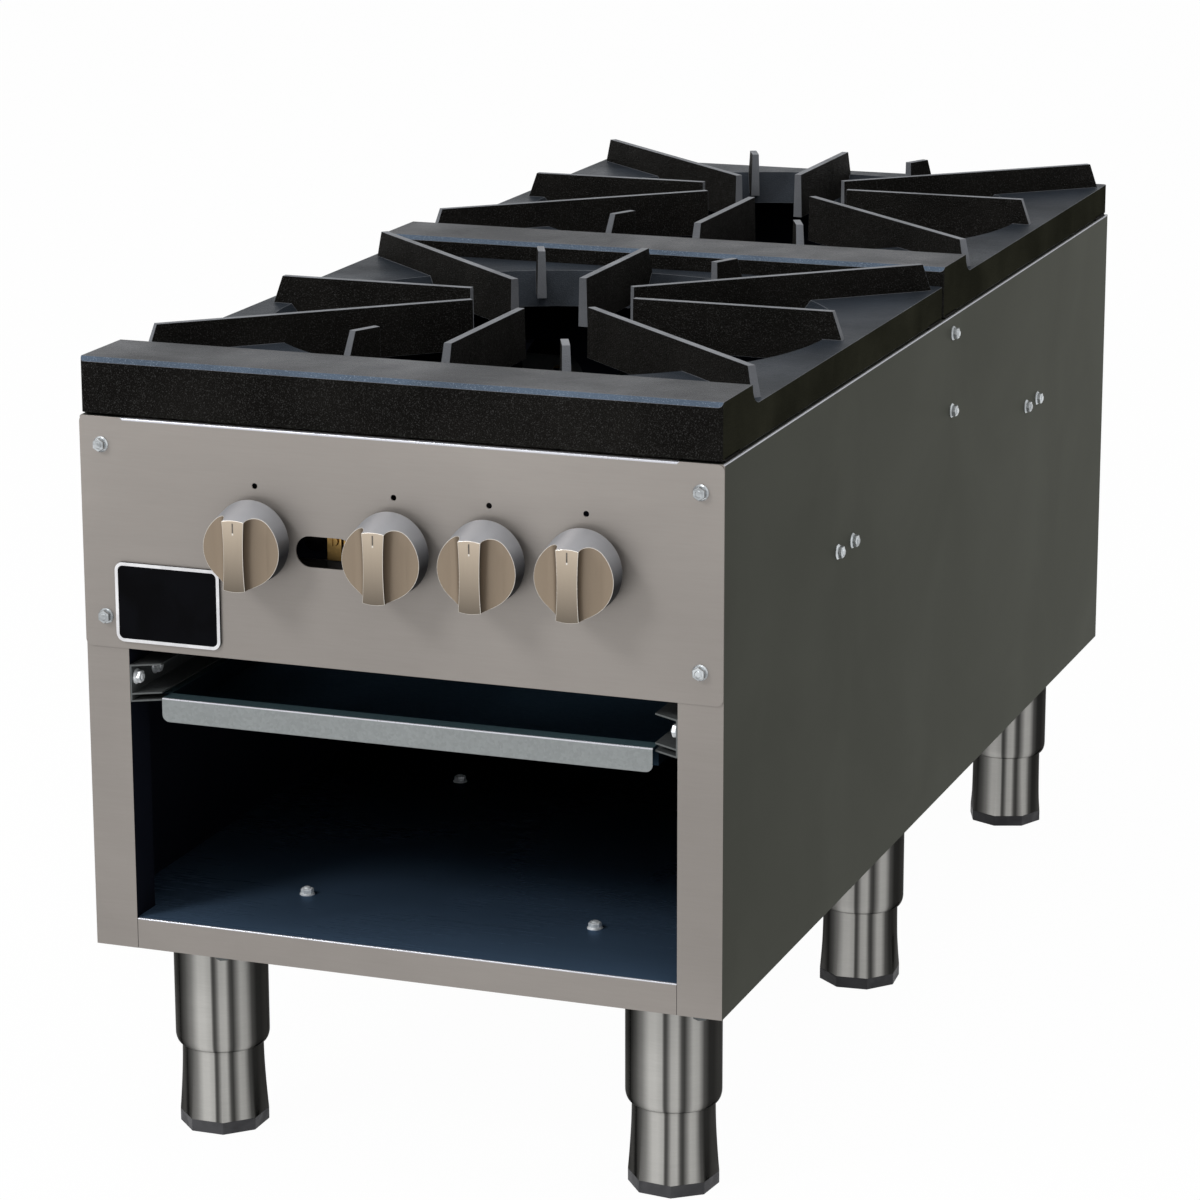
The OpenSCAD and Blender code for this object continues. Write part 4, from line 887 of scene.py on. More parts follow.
def tray_mesh():
    """One folded sheet: the pan, the flat rim round it and the front folded down from the rim."""
    pan_low, pan_high = node_box("drip_tray")
    rim_low, rim_high = node_box("drip_tray_rim")
    under, top = rim_high.z - SHEET, rim_high.z
    bm = solid(add_block, pan_low, (pan_high.x, pan_high.y, top))
    for low, high in (
        ((rim_low.x, pan_low.y + SHEET, under), (rim_high.x, rim_high.y, top)),
        ((pan_low.x, rim_low.y, under), (pan_high.x, pan_low.y + SHEET, top)),
    ):
        bm = combine(bm, solid(add_block, low, high), "UNION")
    front = solid(add_block, (pan_low.x, rim_low.y, rim_low.z), (pan_high.x, rim_low.y + SHEET, top))
    corners = [e for e in edges_where(front, lambda p: p.z < under) if e.verts[0].co.x == e.verts[1].co.x]
    round_edges(front, TRAY_CORNER_R, segments=8, edges=corners)
    bm = combine(bm, front, "UNION")
    inside = solid(
        add_block,
        (pan_low.x + SHEET, pan_low.y + SHEET, pan_low.z + SHEET),
        (pan_high.x - SHEET, pan_high.y - SHEET, top + SHEET),
    )
    bm = combine(bm, inside, "DIFFERENCE")
    merge_flat(bm, 0.5)
    return bm, rim_low.y, top


def build_tray():
    bm, front_y, top = tray_mesh()
    fold = edges_where(bm, lambda p: p.z > top - SKIN and p.y < front_y + SKIN)
    # The front fold carries a painted highlight
    round_edges(bm, HEM_R, material=2, edges=fold)
    round_edges(bm, rounding("sheet"))
    # The rim's top and the inside are painted with the bay's shade
    for face in bm.faces:
        centre = face.calc_center_median()
        if face.material_index == 2:
            continue
        if face.normal.z > FACING and centre.z > top - SKIN:
            face.material_index = 3
        elif centre.y > front_y + SHEET and face.normal.z > -0.5:
            face.material_index = 1
    looks = ("galvanized", "tray_inside", "bright_edge", "tray_rim")
    nodes = ("drip_tray", "drip_tray_walls", "drip_tray_rim")
    make_piece("drip_tray_dressed", bm, "tray", looks, nodes)
    for side in ("left", "right"):
        dress(side + "_tray_channel", "channel_zinc")


# ---------------------------------------------------------------- controls


KNOB_GRIP_TOP, KNOB_SCOOP_R, KNOB_RIM_RISE, SCOOP_STEPS = 20.5, 11.5, 0.10, 20
KNOB_GRIP_HALF, KNOB_WAIST, KNOB_MIDDLE, MOST_WAIST = 7.0, 1.0, -4.0, 1.3
# The face stands this far behind the knob's full reach, and cutters reach this far past the knob
KNOB_FACE_BACK, CUT_PAST = 0.1, 9
# The grip's face is more than this above the scoops' floor
GRIP_FACE_RISE = 9
MARK_DEEP, MARK_SUNK = 0.6, 0.02
KNOB_CUTS = range(-26, 26, 4)
# The pointer's lines: lower end, upper end and finish; the short lower line is a painted highlight
MARK_LINES, MARK_HALF = ((12.0, 18.6, 0), (10.6, 12.0, 1)), 0.5


def knob_mesh(depth, radius, half):
    """A cone that leans down until its underside is level, with a waisted grip between two scoops.

    It faces +Z, its top is +Y, and its axis is the stem's; it is equally wide from base to face.
    """
    lean = (radius - KNOB_GRIP_TOP) / (2 * depth)
    face_z = depth - KNOB_FACE_BACK
    bm = solid(add_lathe, [(0, 0), (radius, 0), (radius - lean * face_z, face_z), (0, face_z)])
    for vert in bm.verts:
        vert.co.x *= half / (radius - lean * vert.co.z)
        vert.co.y -= lean * vert.co.z
    bend = KNOB_FLOOR + KNOB_SCOOP_R
    turns = [math.pi / 2 * i / SCOOP_STEPS for i in range(SCOOP_STEPS + 1)]
    outline = [(KNOB_GRIP_HALF + KNOB_SCOOP_R * (1 - math.cos(t)), bend - KNOB_SCOOP_R * math.sin(t)) for t in turns]
    reach = radius + CUT_PAST
    rim = KNOB_FLOOR + KNOB_RIM_RISE * (reach - KNOB_GRIP_HALF - KNOB_SCOOP_R)
    outline = [(KNOB_GRIP_HALF, depth + CUT_PAST)] + outline + [(reach, rim), (reach, depth + CUT_PAST)]
    upright = Matrix.Rotation(math.pi / 2, 4, "X") @ Matrix.Translation((0, 0, -reach))
    for side in (-1, 1):
        hollow = solid(add_prism, [(side * x, z) for x, z in outline], 2 * reach, upright)
        for y in KNOB_CUTS:
            cut_edges(hollow, (0, y, 0), (0, 1, 0))
        for vert in hollow.verts:
            off = min(MOST_WAIST, abs(vert.co.y - KNOB_MIDDLE) / (KNOB_GRIP_TOP - KNOB_MIDDLE))
            vert.co.x += side * KNOB_WAIST * off * off
        bm = combine(bm, hollow, "DIFFERENCE")
    return bm, lean


def paint_knob(bm, lean, radius, half):
    """Grip's face 0, cone 1 with painted light and shade, and scoops 3 in painted shade; the rounded edges, with a
    painted highlight, are 2 already.
    """
    for face in bm.faces:
        if face.material_index == 2:
            continue
        centre, normal = face.calc_center_median(), face.normal
        out = Vector((centre.x / half, (centre.y + lean * centre.z) / (radius - lean * centre.z)))
        if normal.z > 0.99 and centre.z > KNOB_FLOOR + GRIP_FACE_RISE:
            face.material_index = 0
        elif centre.z < 1 or (out.length > 0.97 and out.normalized().dot(normal.to_2d()) > 0.5):
            face.material_index = 1
        else:
            face.material_index = 3


def build_knobs():
    whole = KNOB_HIGH - KNOB_LOW
    depth, radius, half = whole.y, whole.z / 2, whole.x / 2
    bm, lean = knob_mesh(depth, radius, half)
    bmesh.ops.remove_doubles(bm, verts=bm.verts, dist=0.2)
    round_edges(bm, rounding("knob"), above=28, segments=3, material=2)
    paint_knob(bm, lean, radius, half)
    looks = ("knob_metal", "knob_shoulder", "knob_edge", "knob_scoop")
    for control in CONTROLS:
        node, body = control + "_knob", control + "_control"
        low, high = node_box(node)
        there = turned((0, -1, 0), ((low.x + high.x) / 2, high.y, (low.z + high.z) / 2))
        knob, mark = bm.copy(), bmesh.new()
        for bottom, top, look in MARK_LINES:
            line = add_block(mark, (-MARK_HALF, bottom, depth - MARK_DEEP), (MARK_HALF, top, depth - MARK_SUNK))
            for face in faces_of(line):
                face.material_index = look
        for made in (knob, mark):
            bmesh.ops.transform(made, matrix=there, verts=made.verts)
        make_piece(node + "_dressed", knob, body, looks, (node,))
        make_piece(node + "_mark", mark, body, ("mark_dark", "knob_edge"))
        dress(control + "_stem", "zinc_plate", body, width=0.3)
    bm.free()


# ---------------------------------------------------------------- grates


STAR_Y, RAIL_D, RAIL_H, RAIL_CHAMFER, RIM_H, FIN_H = 294.5, 62.0, 38.0, 3.2, 24.0, 44.0
BOWL_TOP_R, BOWL_LOW_R, WALL, CORNER_R, RAIL_LOW = 203.0, 183.0, 8.0, 3.0, 4.0
# Each fin: its angle and how far its top reaches from the star's middle
LONG_FINS = (
    (43.0, 295.0), (137.0, 295.0), (223.0, 295.0), (317.0, 295.0),
    (0.0, 210.0), (180.0, 210.0), (90.0, 198.0), (270.0, 198.0),
)
LONG_FIN_INNER = 62.0
STUB_ANGLES, STUB_INNER, STUB_OUTER = (66.5, 113.5, 246.5, 293.5), 172.0, 195.0
FIN_TOP_T, FIN_LOW_T, FIN_LOW, FIN_LEAN, FIN_BITE = 5.5, 7.6, 8.0, 7.0, 4.0
FIN_END_AREA = 420.0
PAD_FRONT, PAD_REAR, PAD_L = 6.0, 36.0, 30.0


def rounded_outline(low, high, radius, steps=6):
    points = []
    for x, y, start in (
        (high.x - radius, low.y + radius, -90),
        (high.x - radius, high.y - radius, 0),
        (low.x + radius, high.y - radius, 90),
        (low.x + radius, low.y + radius, 180),
    ):
        for i in range(steps + 1):
            a = math.radians(start + 90 * i / steps)
            points.append((x + radius * math.cos(a), y + radius * math.sin(a)))
    return points


def bowl_radius(z):
    return BOWL_LOW_R + (BOWL_TOP_R - BOWL_LOW_R) * z / RIM_H


def add_fin(bm, inner, outer, angle, middle):
    """A tapered fin: an outline in its own plane, given its thickness by height, then turned."""
    reach = max(outer + FIN_LEAN, BOWL_TOP_R + FIN_BITE)
    outline = [
        (inner, FIN_LOW),
        (bowl_radius(FIN_LOW) + FIN_BITE, FIN_LOW),
        (BOWL_TOP_R, RIM_H - FIN_BITE),
        (reach, RIM_H - FIN_BITE),
        (outer + FIN_LEAN, RIM_H),
        (outer, FIN_H),
        (inner, FIN_H),
    ]
    made = add_prism(bm, outline, 1.0, Matrix.Rotation(math.pi / 2, 4, "X") @ Matrix.Translation((0, 0, -0.5)))
    for vert in made:
        thick = FIN_LOW_T + (FIN_TOP_T - FIN_LOW_T) * vert.co.z / FIN_H
        vert.co.y = math.copysign(thick / 2, vert.co.y)
    matrix = Matrix.Translation(middle) @ Matrix.Rotation(math.radians(angle), 4, "Z")
    bmesh.ops.transform(bm, matrix=matrix, verts=made)


def rail_section():
    """The front rail from its side: it runs out behind into the rim, with a chamfer in front."""
    run_out, steps = RAIL_H - RIM_H, 12
    section = [(0, RAIL_LOW), (RAIL_D + run_out, RAIL_LOW)]
    for a in (math.pi / 2 * i / steps for i in range(steps + 1)):
        section.append((RAIL_D + run_out * (1 - math.sin(a)), RIM_H + run_out * (1 - math.cos(a))))
    return section + [(RAIL_CHAMFER, RAIL_H), (0, RAIL_H - RAIL_CHAMFER)]


def grate_mesh(base):
    """The whole casting: rim, hollow-backed rail, conical bowl and the star of fins."""
    low, high = GRATE_LOW, GRATE_HIGH
    outline, upright = rounded_outline(low, high, CORNER_R), Matrix.Translation((0, 0, base))
    middle = Vector((0, low.y + STAR_Y, base))
    round_star = Matrix.Translation(middle)
    guard_r = BOWL_TOP_R + 2.5 * WALL
    along_x = Matrix(((0, 0, 1, low.x), (1, 0, 0, low.y), (0, 1, 0, base), (0, 0, 0, 1)))
    rail = solid(add_prism, rail_section(), high.x - low.x, along_x)
    rail = combine(rail, solid(add_prism, outline, RAIL_H + 2, upright), "INTERSECT")
    bm = combine(solid(add_prism, outline, RIM_H, upright), rail, "UNION")
    bowl = [(0, -2), (bowl_radius(-2), -2), (bowl_radius(RIM_H + 2), RIM_H + 2), (0, RIM_H + 2)]
    bm = combine(bm, solid(add_lathe, bowl, 2 * ROUND_STEPS, round_star), "DIFFERENCE")
    corner = (low.x + WALL, low.y + WALL, base - 2)
    pocket = solid(add_block, corner, (high.x - WALL, high.y - WALL, base + RIM_H - WALL))
    guard = [(0, -4), (guard_r, -4), (guard_r, RIM_H + 4), (0, RIM_H + 4)]
    pocket = combine(pocket, solid(add_lathe, guard, ROUND_STEPS, round_star), "DIFFERENCE")
    bm = combine(bm, pocket, "DIFFERENCE")
    under_rail = solid(add_block, corner, (high.x - WALL, low.y + RAIL_D - WALL, base + RAIL_H - WALL))
    bm = combine(bm, under_rail, "DIFFERENCE")
    fins = [(LONG_FIN_INNER, outer, angle) for angle, outer in LONG_FINS]
    for fin in fins + [(STUB_INNER, STUB_OUTER, angle) for angle in STUB_ANGLES]:
        bm = combine(bm, solid(add_fin, *fin, middle), "UNION")
    merge_flat(bm, 0.4)
    return bm


def grate_finish(face, base):
    """Rough 0, level faces with painted sky reflection 1, edges, fin tops and fin ends with wear and painted highlight
    2, rail's chamfer with painted sky reflection 3, right side in its own painted light and shade 4, rail's top 5.
    """
    centre, normal = face.calc_center_median(), face.normal
    out = (centre.to_2d() - Vector((0, GRATE_LOW.y + STAR_Y))).normalized()
    over_rim = centre.z > base + RIM_H + 1
    rail = centre.y < GRATE_LOW.y + RAIL_D
    if face.material_index == 2:
        return 0 if rail and normal.x < FACING and centre.z < base + RIM_H else 2
    if rail and 0.4 < normal.z < FACING and normal.y < -0.4:
        return 3
    if normal.x > 0.95 and centre.x > GRATE_HIGH.x - 1:
        return 4
    if rail and over_rim and normal.z > 0.95:
        return 5
    fin_end = over_rim and not rail and face.calc_area() < FIN_END_AREA and abs(out.dot(normal.to_2d())) > 0.8
    if fin_end or (centre.z > base + RAIL_H + 1 and normal.z > FACING):
        return 2
    return 1 if normal.z > 0.3 else 0


def add_pads(bm, node):
    """The small pads that the grate stands on, under its corners."""
    low, high = node_box(node)
    for x in (low.x, high.x - WALL):
        for y in (low.y + PAD_FRONT, high.y - PAD_REAR):
            add_block(bm, (x, y, low.z), (x + WALL, y + PAD_L, high.z - FIN_H + 1.0))


def build_grates():
    base = GRATE_HIGH.z - FIN_H
    bm = grate_mesh(base)
    round_edges(bm, rounding("casting"), above=24, material=2)
    for face in bm.faces:
        face.material_index = grate_finish(face, base)
    looks = ("iron_rough", "iron_smooth", "iron_edge", "iron_chamfer", "iron_shade", "iron_rail")
    for burner, shift in zip(BURNERS, (0, GRATE_PITCH)):
        node, grate = burner + "_grate", bm.copy()
        bmesh.ops.translate(grate, vec=(0, shift, 0), verts=grate.verts)
        add_pads(grate, node)
        make_piece(node + "_dressed", grate, burner + "_cooking_grate", looks, (node,), smooth=40)
    bm.free()


# ---------------------------------------------------------------- burners


RING_W, RING_LOW, RING_TOP, RING_CHAMFER = 18.0, 6.0, 26.0, 5.0
# A ring's outer radius and its share of the ports, for the outer casting's two rings
RING_RADII = ((114.0, 1.0), (70.0, 0.6))
ARM_INNER, ARM_OUTER, ARM_HALF = 61.0, 105.0, 8.0
HEAD_R, HEAD_EDGE, HEAD_STEPS, DIMPLE_R, DIMPLE_D = 38, 5, 40, 7, 2
MOUTH_REACH, TUBE_R, MOUTH_R, BELL_L, BELL_STEPS = 228.5, 18.0, 36.0, 46.0, 8
SCREW_R, MOUTH_WALL, MOUTH_LIP, MOUTH_BACK = 7.3, 3, 2.4, 6.0
PORT_EDGE, PORT_TAPER, PORT_DEPTH = 1.1, 0.5, 2.5
OUTER_TUBE_X, OUTER_FOOT_X = -100.0, 101.3
STUD_R, STUD_STEPS, STUD_Y, TUBE_STEPS, TUBE_EDGE = 8, 24, -27.5, 48, 6


def add_ported(bm, outline, steps, slope_r, closed, matrix):
    """A turned casting with drilled ports: every other face of its slope is sunk and painted near black as the shade
    inside a port.
    """
    part = bmesh.new()
    add_lathe(part, outline, steps, closed=closed)
    chosen = []
    for face in part.faces:
        centre = face.calc_center_median()
        turn = math.atan2(centre.y, centre.x) / FULL_TURN * steps
        if 0.5 < face.normal.z < FACING and centre.to_2d().length > slope_r and round(turn - 0.5) % 2 == 0:
            chosen.append(face)
    bmesh.ops.inset_individual(part, faces=chosen, thickness=PORT_EDGE, depth=0.0)
    deep = bmesh.ops.inset_individual(part, faces=chosen, thickness=PORT_TAPER, depth=-PORT_DEPTH)
    for face in deep["faces"] + chosen:
        face.material_index = 1
    bmesh.ops.transform(part, matrix=matrix, verts=part.verts)
    mesh = new_mesh("casting", part)
    bm.from_mesh(mesh)
    bpy.data.meshes.remove(mesh)


def ring_outline(outer):
    inner = outer - RING_W
    return [
        (inner, RING_LOW),
        (outer, RING_LOW),
        (outer, RING_TOP - RING_CHAMFER),
        (outer - RING_CHAMFER, RING_TOP),
        (inner + RING_CHAMFER / 2, RING_TOP),
        (inner, RING_TOP - RING_CHAMFER / 2),
    ]


def head_outline():
    top_r = HEAD_R - HEAD_EDGE
    return [
        (0, RING_LOW),
        (top_r, RING_LOW),
        (HEAD_R, RING_LOW + HEAD_EDGE),
        (HEAD_R, RING_TOP - HEAD_EDGE),
        (top_r, RING_TOP),
        (DIMPLE_R + 2, RING_TOP),
        (DIMPLE_R, RING_TOP - DIMPLE_D),
        (0, RING_TOP - DIMPLE_D),
    ]


def tube_outline():
    """A mixing tube from its closed end to the bell mouth with its plate."""
    outline = [(0, -TUBE_R), (TUBE_R - TUBE_EDGE, -TUBE_R)]
    outline += [(TUBE_R, -TUBE_R + TUBE_EDGE), (TUBE_R, MOUTH_REACH - BELL_L)]
    for share in (i / BELL_STEPS for i in range(1, BELL_STEPS + 1)):
        swell = share * share * (3 - 2 * share)
        along = MOUTH_REACH - BELL_L + (BELL_L - MOUTH_BACK) * share
        outline.append((TUBE_R + (MOUTH_R - TUBE_R) * swell, along))
    return outline + [
        (MOUTH_R, MOUTH_REACH),
        (MOUTH_R - MOUTH_WALL, MOUTH_REACH),
        (MOUTH_R - MOUTH_WALL, MOUTH_REACH - MOUTH_LIP),
        (SCREW_R, MOUTH_REACH - MOUTH_LIP),
        (SCREW_R, MOUTH_REACH - MOUTH_BACK),
        (0, MOUTH_REACH - MOUTH_BACK),
    ]


def build_burner(burner, ring):
    node = f"{burner}_{ring}_burner"
    low = node_box(node)[0]
    axis_z = node_box(burner + "_outer_burner")[1].z - MOUTH_R
    middle = Vector((0, low.y + MOUTH_REACH, axis_z))
    upright = Matrix.Translation(middle)
    bm = bmesh.new()
    if ring == "outer":
        ports = bpy.context.scene.range_sizes.port_count
        for outer, share in RING_RADII:
            steps = 2 * int(ports * share)
            add_ported(bm, ring_outline(outer), steps, outer - RING_CHAMFER, True, upright)
        for eighth in (1, 3, 5, 7):
            arm = add_block(bm, (ARM_INNER, -ARM_HALF, RING_LOW + 2), (ARM_OUTER, ARM_HALF, RING_TOP - 4))
            bmesh.ops.transform(bm, matrix=upright @ Matrix.Rotation(math.pi / 4 * eighth, 4, "Z"), verts=arm)
        tube_x, feet = OUTER_TUBE_X, (OUTER_TUBE_X, OUTER_FOOT_X)
    else:
        add_ported(bm, head_outline(), HEAD_STEPS, HEAD_R - HEAD_EDGE, False, upright)
        tube_x, feet = 0.0, (0.0,)
    add_lathe(bm, tube_outline(), TUBE_STEPS, turned((0, -1, 0), middle + Vector((tube_x, 0, 0))))
    for x in feet:
        bottom, top = low.z - axis_z, RING_LOW + 0.5 if x > 0 else -TUBE_R + 1.5
        stud = [(0, bottom), (STUD_R, bottom), (STUD_R, top), (0, top)]
        add_lathe(bm, stud, STUD_STEPS, upright @ Matrix.Translation((x, STUD_Y, 0)))
    make_piece(node + "_dressed", bm, "cabinet", ("burner_iron", "port_dark"), (node,), smooth=35)


def build_burners():
    for burner in BURNERS:
        for ring in RINGS:
            build_burner(burner, ring)
            unit = f"{burner}_{ring}"
            dress(unit + "_shutter", "inner_steel", unit + "_air_shutter", width=0.2)


# ---------------------------------------------------------------- gas works


def build_gas_works():
    for node in ("gas_manifold", "gas_supply_pipe"):
        dress(node, "black_pipe", width=0.6)
    for node in ("gas_valves", "orifice_hoods", "pilot_valves"):
        dress(node, "brass", width=0.4)
    for burner in BURNERS:
        dress(burner + "_pilot_screw", "brass", burner + "_pilot_adjuster", width=0.25)
    for node in ("rear_gas_tubes", "pilot_tubes", "manifold_brackets", "rear_hood_bracket"):
        dress(node, "channel_zinc", width=0.3)
    dress("pilot_burners", "front_steel", width=0.4)


# ---------------------------------------------------------------- legs


SLEEVE_R, SLEEVE_WALL, SLEEVE_MOUTH_R, SLEEVE_ROUND, SLEEVE_ROOF = 33.3, 1.5, 29.1, 8.0, 3
SLEEVE_BOLT_R = 8
FOOT_R, FOOT_CORNER_R, FOOT_ROUND_Z, CAP_H, COLLAR_LOW, COLLAR_H = 28.8, 31.5, 58.0, 9.0, 96.0, 18
FOOT_HEIGHTS = (CAP_H, 12.0, 16.0, 20.0, 25.0, 30.0, 36.0, 42.0, 49.0, FOOT_ROUND_Z)
FOOT_EASE, CAP_ROUND, CAP_PROUD, COLLAR_GAP = 1.6, 0.5, 0.1, 0.3
HEX_R = 10 / math.sqrt(3)
PLATE_BOLT_LEFT, PLATE_BOLT_RIGHT, PLATE_BOLT_AHEAD = 31.0, 40.0, 61.0
PLATE_BOLT_R, PLATE_BOLT_H, PLATE_BOLT_SUNK, PLATE_BOLT_ROUND = HEX_R * 0.92, 3.4, 0.2, 0.6
# How far each foot is screwed round, and how far each leg's painted reflection bands are turned, in degrees
FOOT_TURNS = dict(zip(FEET, (0.0, -7.0, 12.0, 5.0, -9.0, 20.0)))
REFLECTION_BAND_TURNS = (25.7, 19.2, 24.0, 21.0, 23.0, 20.0)


def own_place(ob):
    """Stores each point's place from the nearest leg's axis, in metres and turned, for the painted reflection bands.
    """
    stored = ob.data.attributes.new("leg_place", "FLOAT_VECTOR", "POINT")
    legs = [(c * MM, Matrix.Rotation(-math.radians(t), 3, "Z")) for c, t in zip(LEG_CENTRES, REFLECTION_BAND_TURNS)]
    for i, vert in enumerate(ob.data.vertices):
        centre, turn = min(legs, key=lambda leg: (vert.co - leg[0]).to_2d().length)
        stored.data[i].vector = turn @ (vert.co - centre)


def build_sleeves():
    """The tubes under the shelf's rails, each drawn in round its foot at the bottom."""
    low, high = node_box("leg_sleeves")
    inner, roof = SLEEVE_R - SLEEVE_WALL, RAIL_Z - SLEEVE_ROOF
    outline = [(0, RAIL_Z), (0, roof), (inner, roof), (inner, low.z + SLEEVE_ROUND)]
    outline += [(SLEEVE_MOUTH_R, low.z + SLEEVE_WALL), (SLEEVE_MOUTH_R, low.z)]
    for a in (math.pi / 2 * i / 12 for i in range(1, 13)):
        drawn = SLEEVE_MOUTH_R + (SLEEVE_R - SLEEVE_MOUTH_R) * math.sin(a)
        outline.append((drawn, low.z + SLEEVE_ROUND * (1 - math.cos(a))))
    outline.append((SLEEVE_R, RAIL_Z))
    bolt = [(0, RAIL_Z - 1), (SLEEVE_BOLT_R, RAIL_Z - 1), (SLEEVE_BOLT_R, high.z - 1), (SLEEVE_BOLT_R - 1, high.z)]
    bm = bmesh.new()
    for centre in LEG_CENTRES:
        add_lathe(bm, outline, ROUND_STEPS, Matrix.Translation(centre))
        add_lathe(bm, bolt + [(0, high.z)], SMALL_STEPS, Matrix.Translation(centre))
    looks, nodes = ("leg_steel",), ("leg_sleeves",)
    own_place(make_piece("leg_sleeves_dressed", bm, "cabinet", looks, nodes, smooth=40))
    dress("leg_nuts", "zinc_plate", width=0.5)


def octagon_radius(angle):
    """How far an eight-sided foot's side lies from its axis at an angle."""
    step = math.pi / 4
    off = (angle + step / 2) % step - step / 2
    return FOOT_CORNER_R * math.cos(step / 2) / math.cos(off)


def build_foot(foot, centre):
    """A tube that turns from round into eight sides, over a dark cap."""
    node = foot + "_foot"
    bm = bmesh.new()
    loops = []
    for z in (*FOOT_HEIGHTS, node_box(node)[1].z):
        share = min(1.0, max(0.0, (FOOT_ROUND_Z - z) / (FOOT_ROUND_Z - CAP_H))) ** FOOT_EASE
        ring = bmesh.ops.create_circle(bm, cap_ends=False, radius=1.0, segments=2 * ROUND_STEPS)["verts"]
        for vert in ring:
            angle = math.atan2(vert.co.y, vert.co.x)
            radius = FOOT_R + (octagon_radius(angle) - FOOT_R) * share
            vert.co = Vector((math.cos(angle) * radius, math.sin(angle) * radius, z))
        loops.append(edges_of(ring))
    for first, second in zip(loops, loops[1:]):
        bmesh.ops.bridge_loops(bm, edges=first + second)
    for loop in (loops[0], loops[-1]):
        bmesh.ops.contextual_create(bm, geom=loop)
    bmesh.ops.recalc_face_normals(bm, faces=bm.faces)
    collar_r, collar_top = SLEEVE_R - SLEEVE_WALL - COLLAR_GAP, COLLAR_LOW + COLLAR_H
    add_lathe(bm, [(0, COLLAR_LOW), (collar_r, COLLAR_LOW), (collar_r, collar_top), (0, collar_top)])
    cap_at = Matrix.Translation((0, 0, CAP_H / 2)) @ Matrix.Rotation(math.pi / 8, 4, "Z")
    cap = add_rod(bm, 8, FOOT_CORNER_R + CAP_PROUD, CAP_H, cap_at)
    for face in faces_of(cap):
        face.material_index = 1
    round_edges(bm, CAP_ROUND, edges=edges_of(cap))
    turn = Matrix.Rotation(math.radians(FOOT_TURNS[foot]), 4, "Z")
    bmesh.ops.transform(bm, matrix=Matrix.Translation(centre) @ turn, verts=bm.verts)
    looks = ("leg_steel", "cap_plastic")
    own_place(make_piece(node + "_dressed", bm, foot + "_leg_foot", looks, (node,), smooth=12))


def build_plate_bolts():
    """Hex heads that hold each leg's rail, two to a leg."""
    bm = bmesh.new()
    for centre in LEG_CENTRES:
        across = PLATE_BOLT_LEFT if centre.x < 0 else PLATE_BOLT_RIGHT
        for way in (-1, 1):
            at = centre + Vector((-way * across, way * PLATE_BOLT_AHEAD, RAIL_Z))
            sunk = Matrix.Translation(at - Vector((0, 0, PLATE_BOLT_H / 2 - PLATE_BOLT_SUNK)))
            head = add_rod(bm, 6, PLATE_BOLT_R, PLATE_BOLT_H, sunk)
            round_edges(bm, PLATE_BOLT_ROUND, edges=edges_of(head))
    make_piece("leg_plate_bolts", bm, "cabinet", ("channel_zinc",), smooth=32)


def build_legs():
    build_sleeves()
    build_plate_bolts()
    for foot, centre in zip(FEET, LEG_CENTRES):
        build_foot(foot, centre)


# ---------------------------------------------------------------- fasteners


# Profiles of (radius, height) and sizes, from the face that a head sits on
FLANGE = ((0, 0), (5.5, 0), (5.5, 0.5), (4.7, 1.4), (0, 1.4))
TIP = ((0, 4.0), (2.5, 4.0), (2.5, 4.8), (1.9, 5.4), (0, 5.4))
PAN_HEAD = ((0, 0), (6.4, 0), (6.2, 0.6), (5.0, 1.1), (3.2, 1.35), (0, 1.4))
HEX_HEAD_R, HEX_LOW, HEX_HEAD_H, HEX_ROUND, HEAD_H, PAN_H = 4.6, 1.2, 3.4, 0.9, 5.4, 1.4
SHANK_R, SHANK_SUNK = 3.0, 0.2
NUT_H, NUT_TIP, NUT_ROUND = 5.0, 1.5, 0.5
# The way each bolt's head points; x is turned over on the left side
BOLT_AXES = {
    "control_panel_bolts": (0, -1, 0),
    "side_panel_bolts": (1, 0, 0),
    "tray_channel_bolts": (-1, 0, 0),
    "shelf_bolts": (0, 0, 1),
}
BAY_BOLTS = ("tray_channel_bolts", "shelf_bolts")


def add_bolt(bm, at, axis, inner):
    """A hex head on a flange with a rounded tip, and the nut and shank behind the sheets."""
    there = turned(axis, at)
    add_lathe(bm, FLANGE, SMALL_STEPS, there)
    head = add_rod(bm, 6, HEX_HEAD_R, HEX_HEAD_H, Matrix.Translation((0, 0, HEX_LOW + HEX_HEAD_H / 2)))
    top = [e for e in edges_of(head) if all(v.co.z > HEX_LOW + HEX_HEAD_H / 2 for v in e.verts)]
    rounded = round_edges(bm, HEX_ROUND, edges=top)
    bmesh.ops.transform(bm, matrix=there, verts=list(set(rounded) | {v for v in head if v.is_valid}))
    add_lathe(bm, TIP, ROD_STEPS, there)
    shank = [(0, -inner), (2.6, -inner), (SHANK_R, -inner + 0.6), (SHANK_R, SHANK_SUNK), (0, SHANK_SUNK)]
    add_lathe(bm, shank, ROD_STEPS, there)
    nut_at = turned(axis, at - axis * (inner - NUT_TIP - NUT_H / 2))
    round_edges(bm, NUT_ROUND, edges=edges_of(add_rod(bm, 6, HEX_R, NUT_H, nut_at)))


def build_bolts():
    for node, way in BOLT_AXES.items():
        bm = bmesh.new()
        for low, high in islands(node):
            axis = Vector(way)
            axis.x *= math.copysign(1, low.x)
            reach = abs(((high - low) / 2).dot(axis))
            add_bolt(bm, (low + high) / 2 + axis * (reach - HEAD_H), axis, 2 * reach - HEAD_H)
        look = "bay_zinc" if node in BAY_BOLTS else "zinc_plate"
        make_piece(node + "_dressed", bm, "cabinet", (look,), (node,), smooth=32)


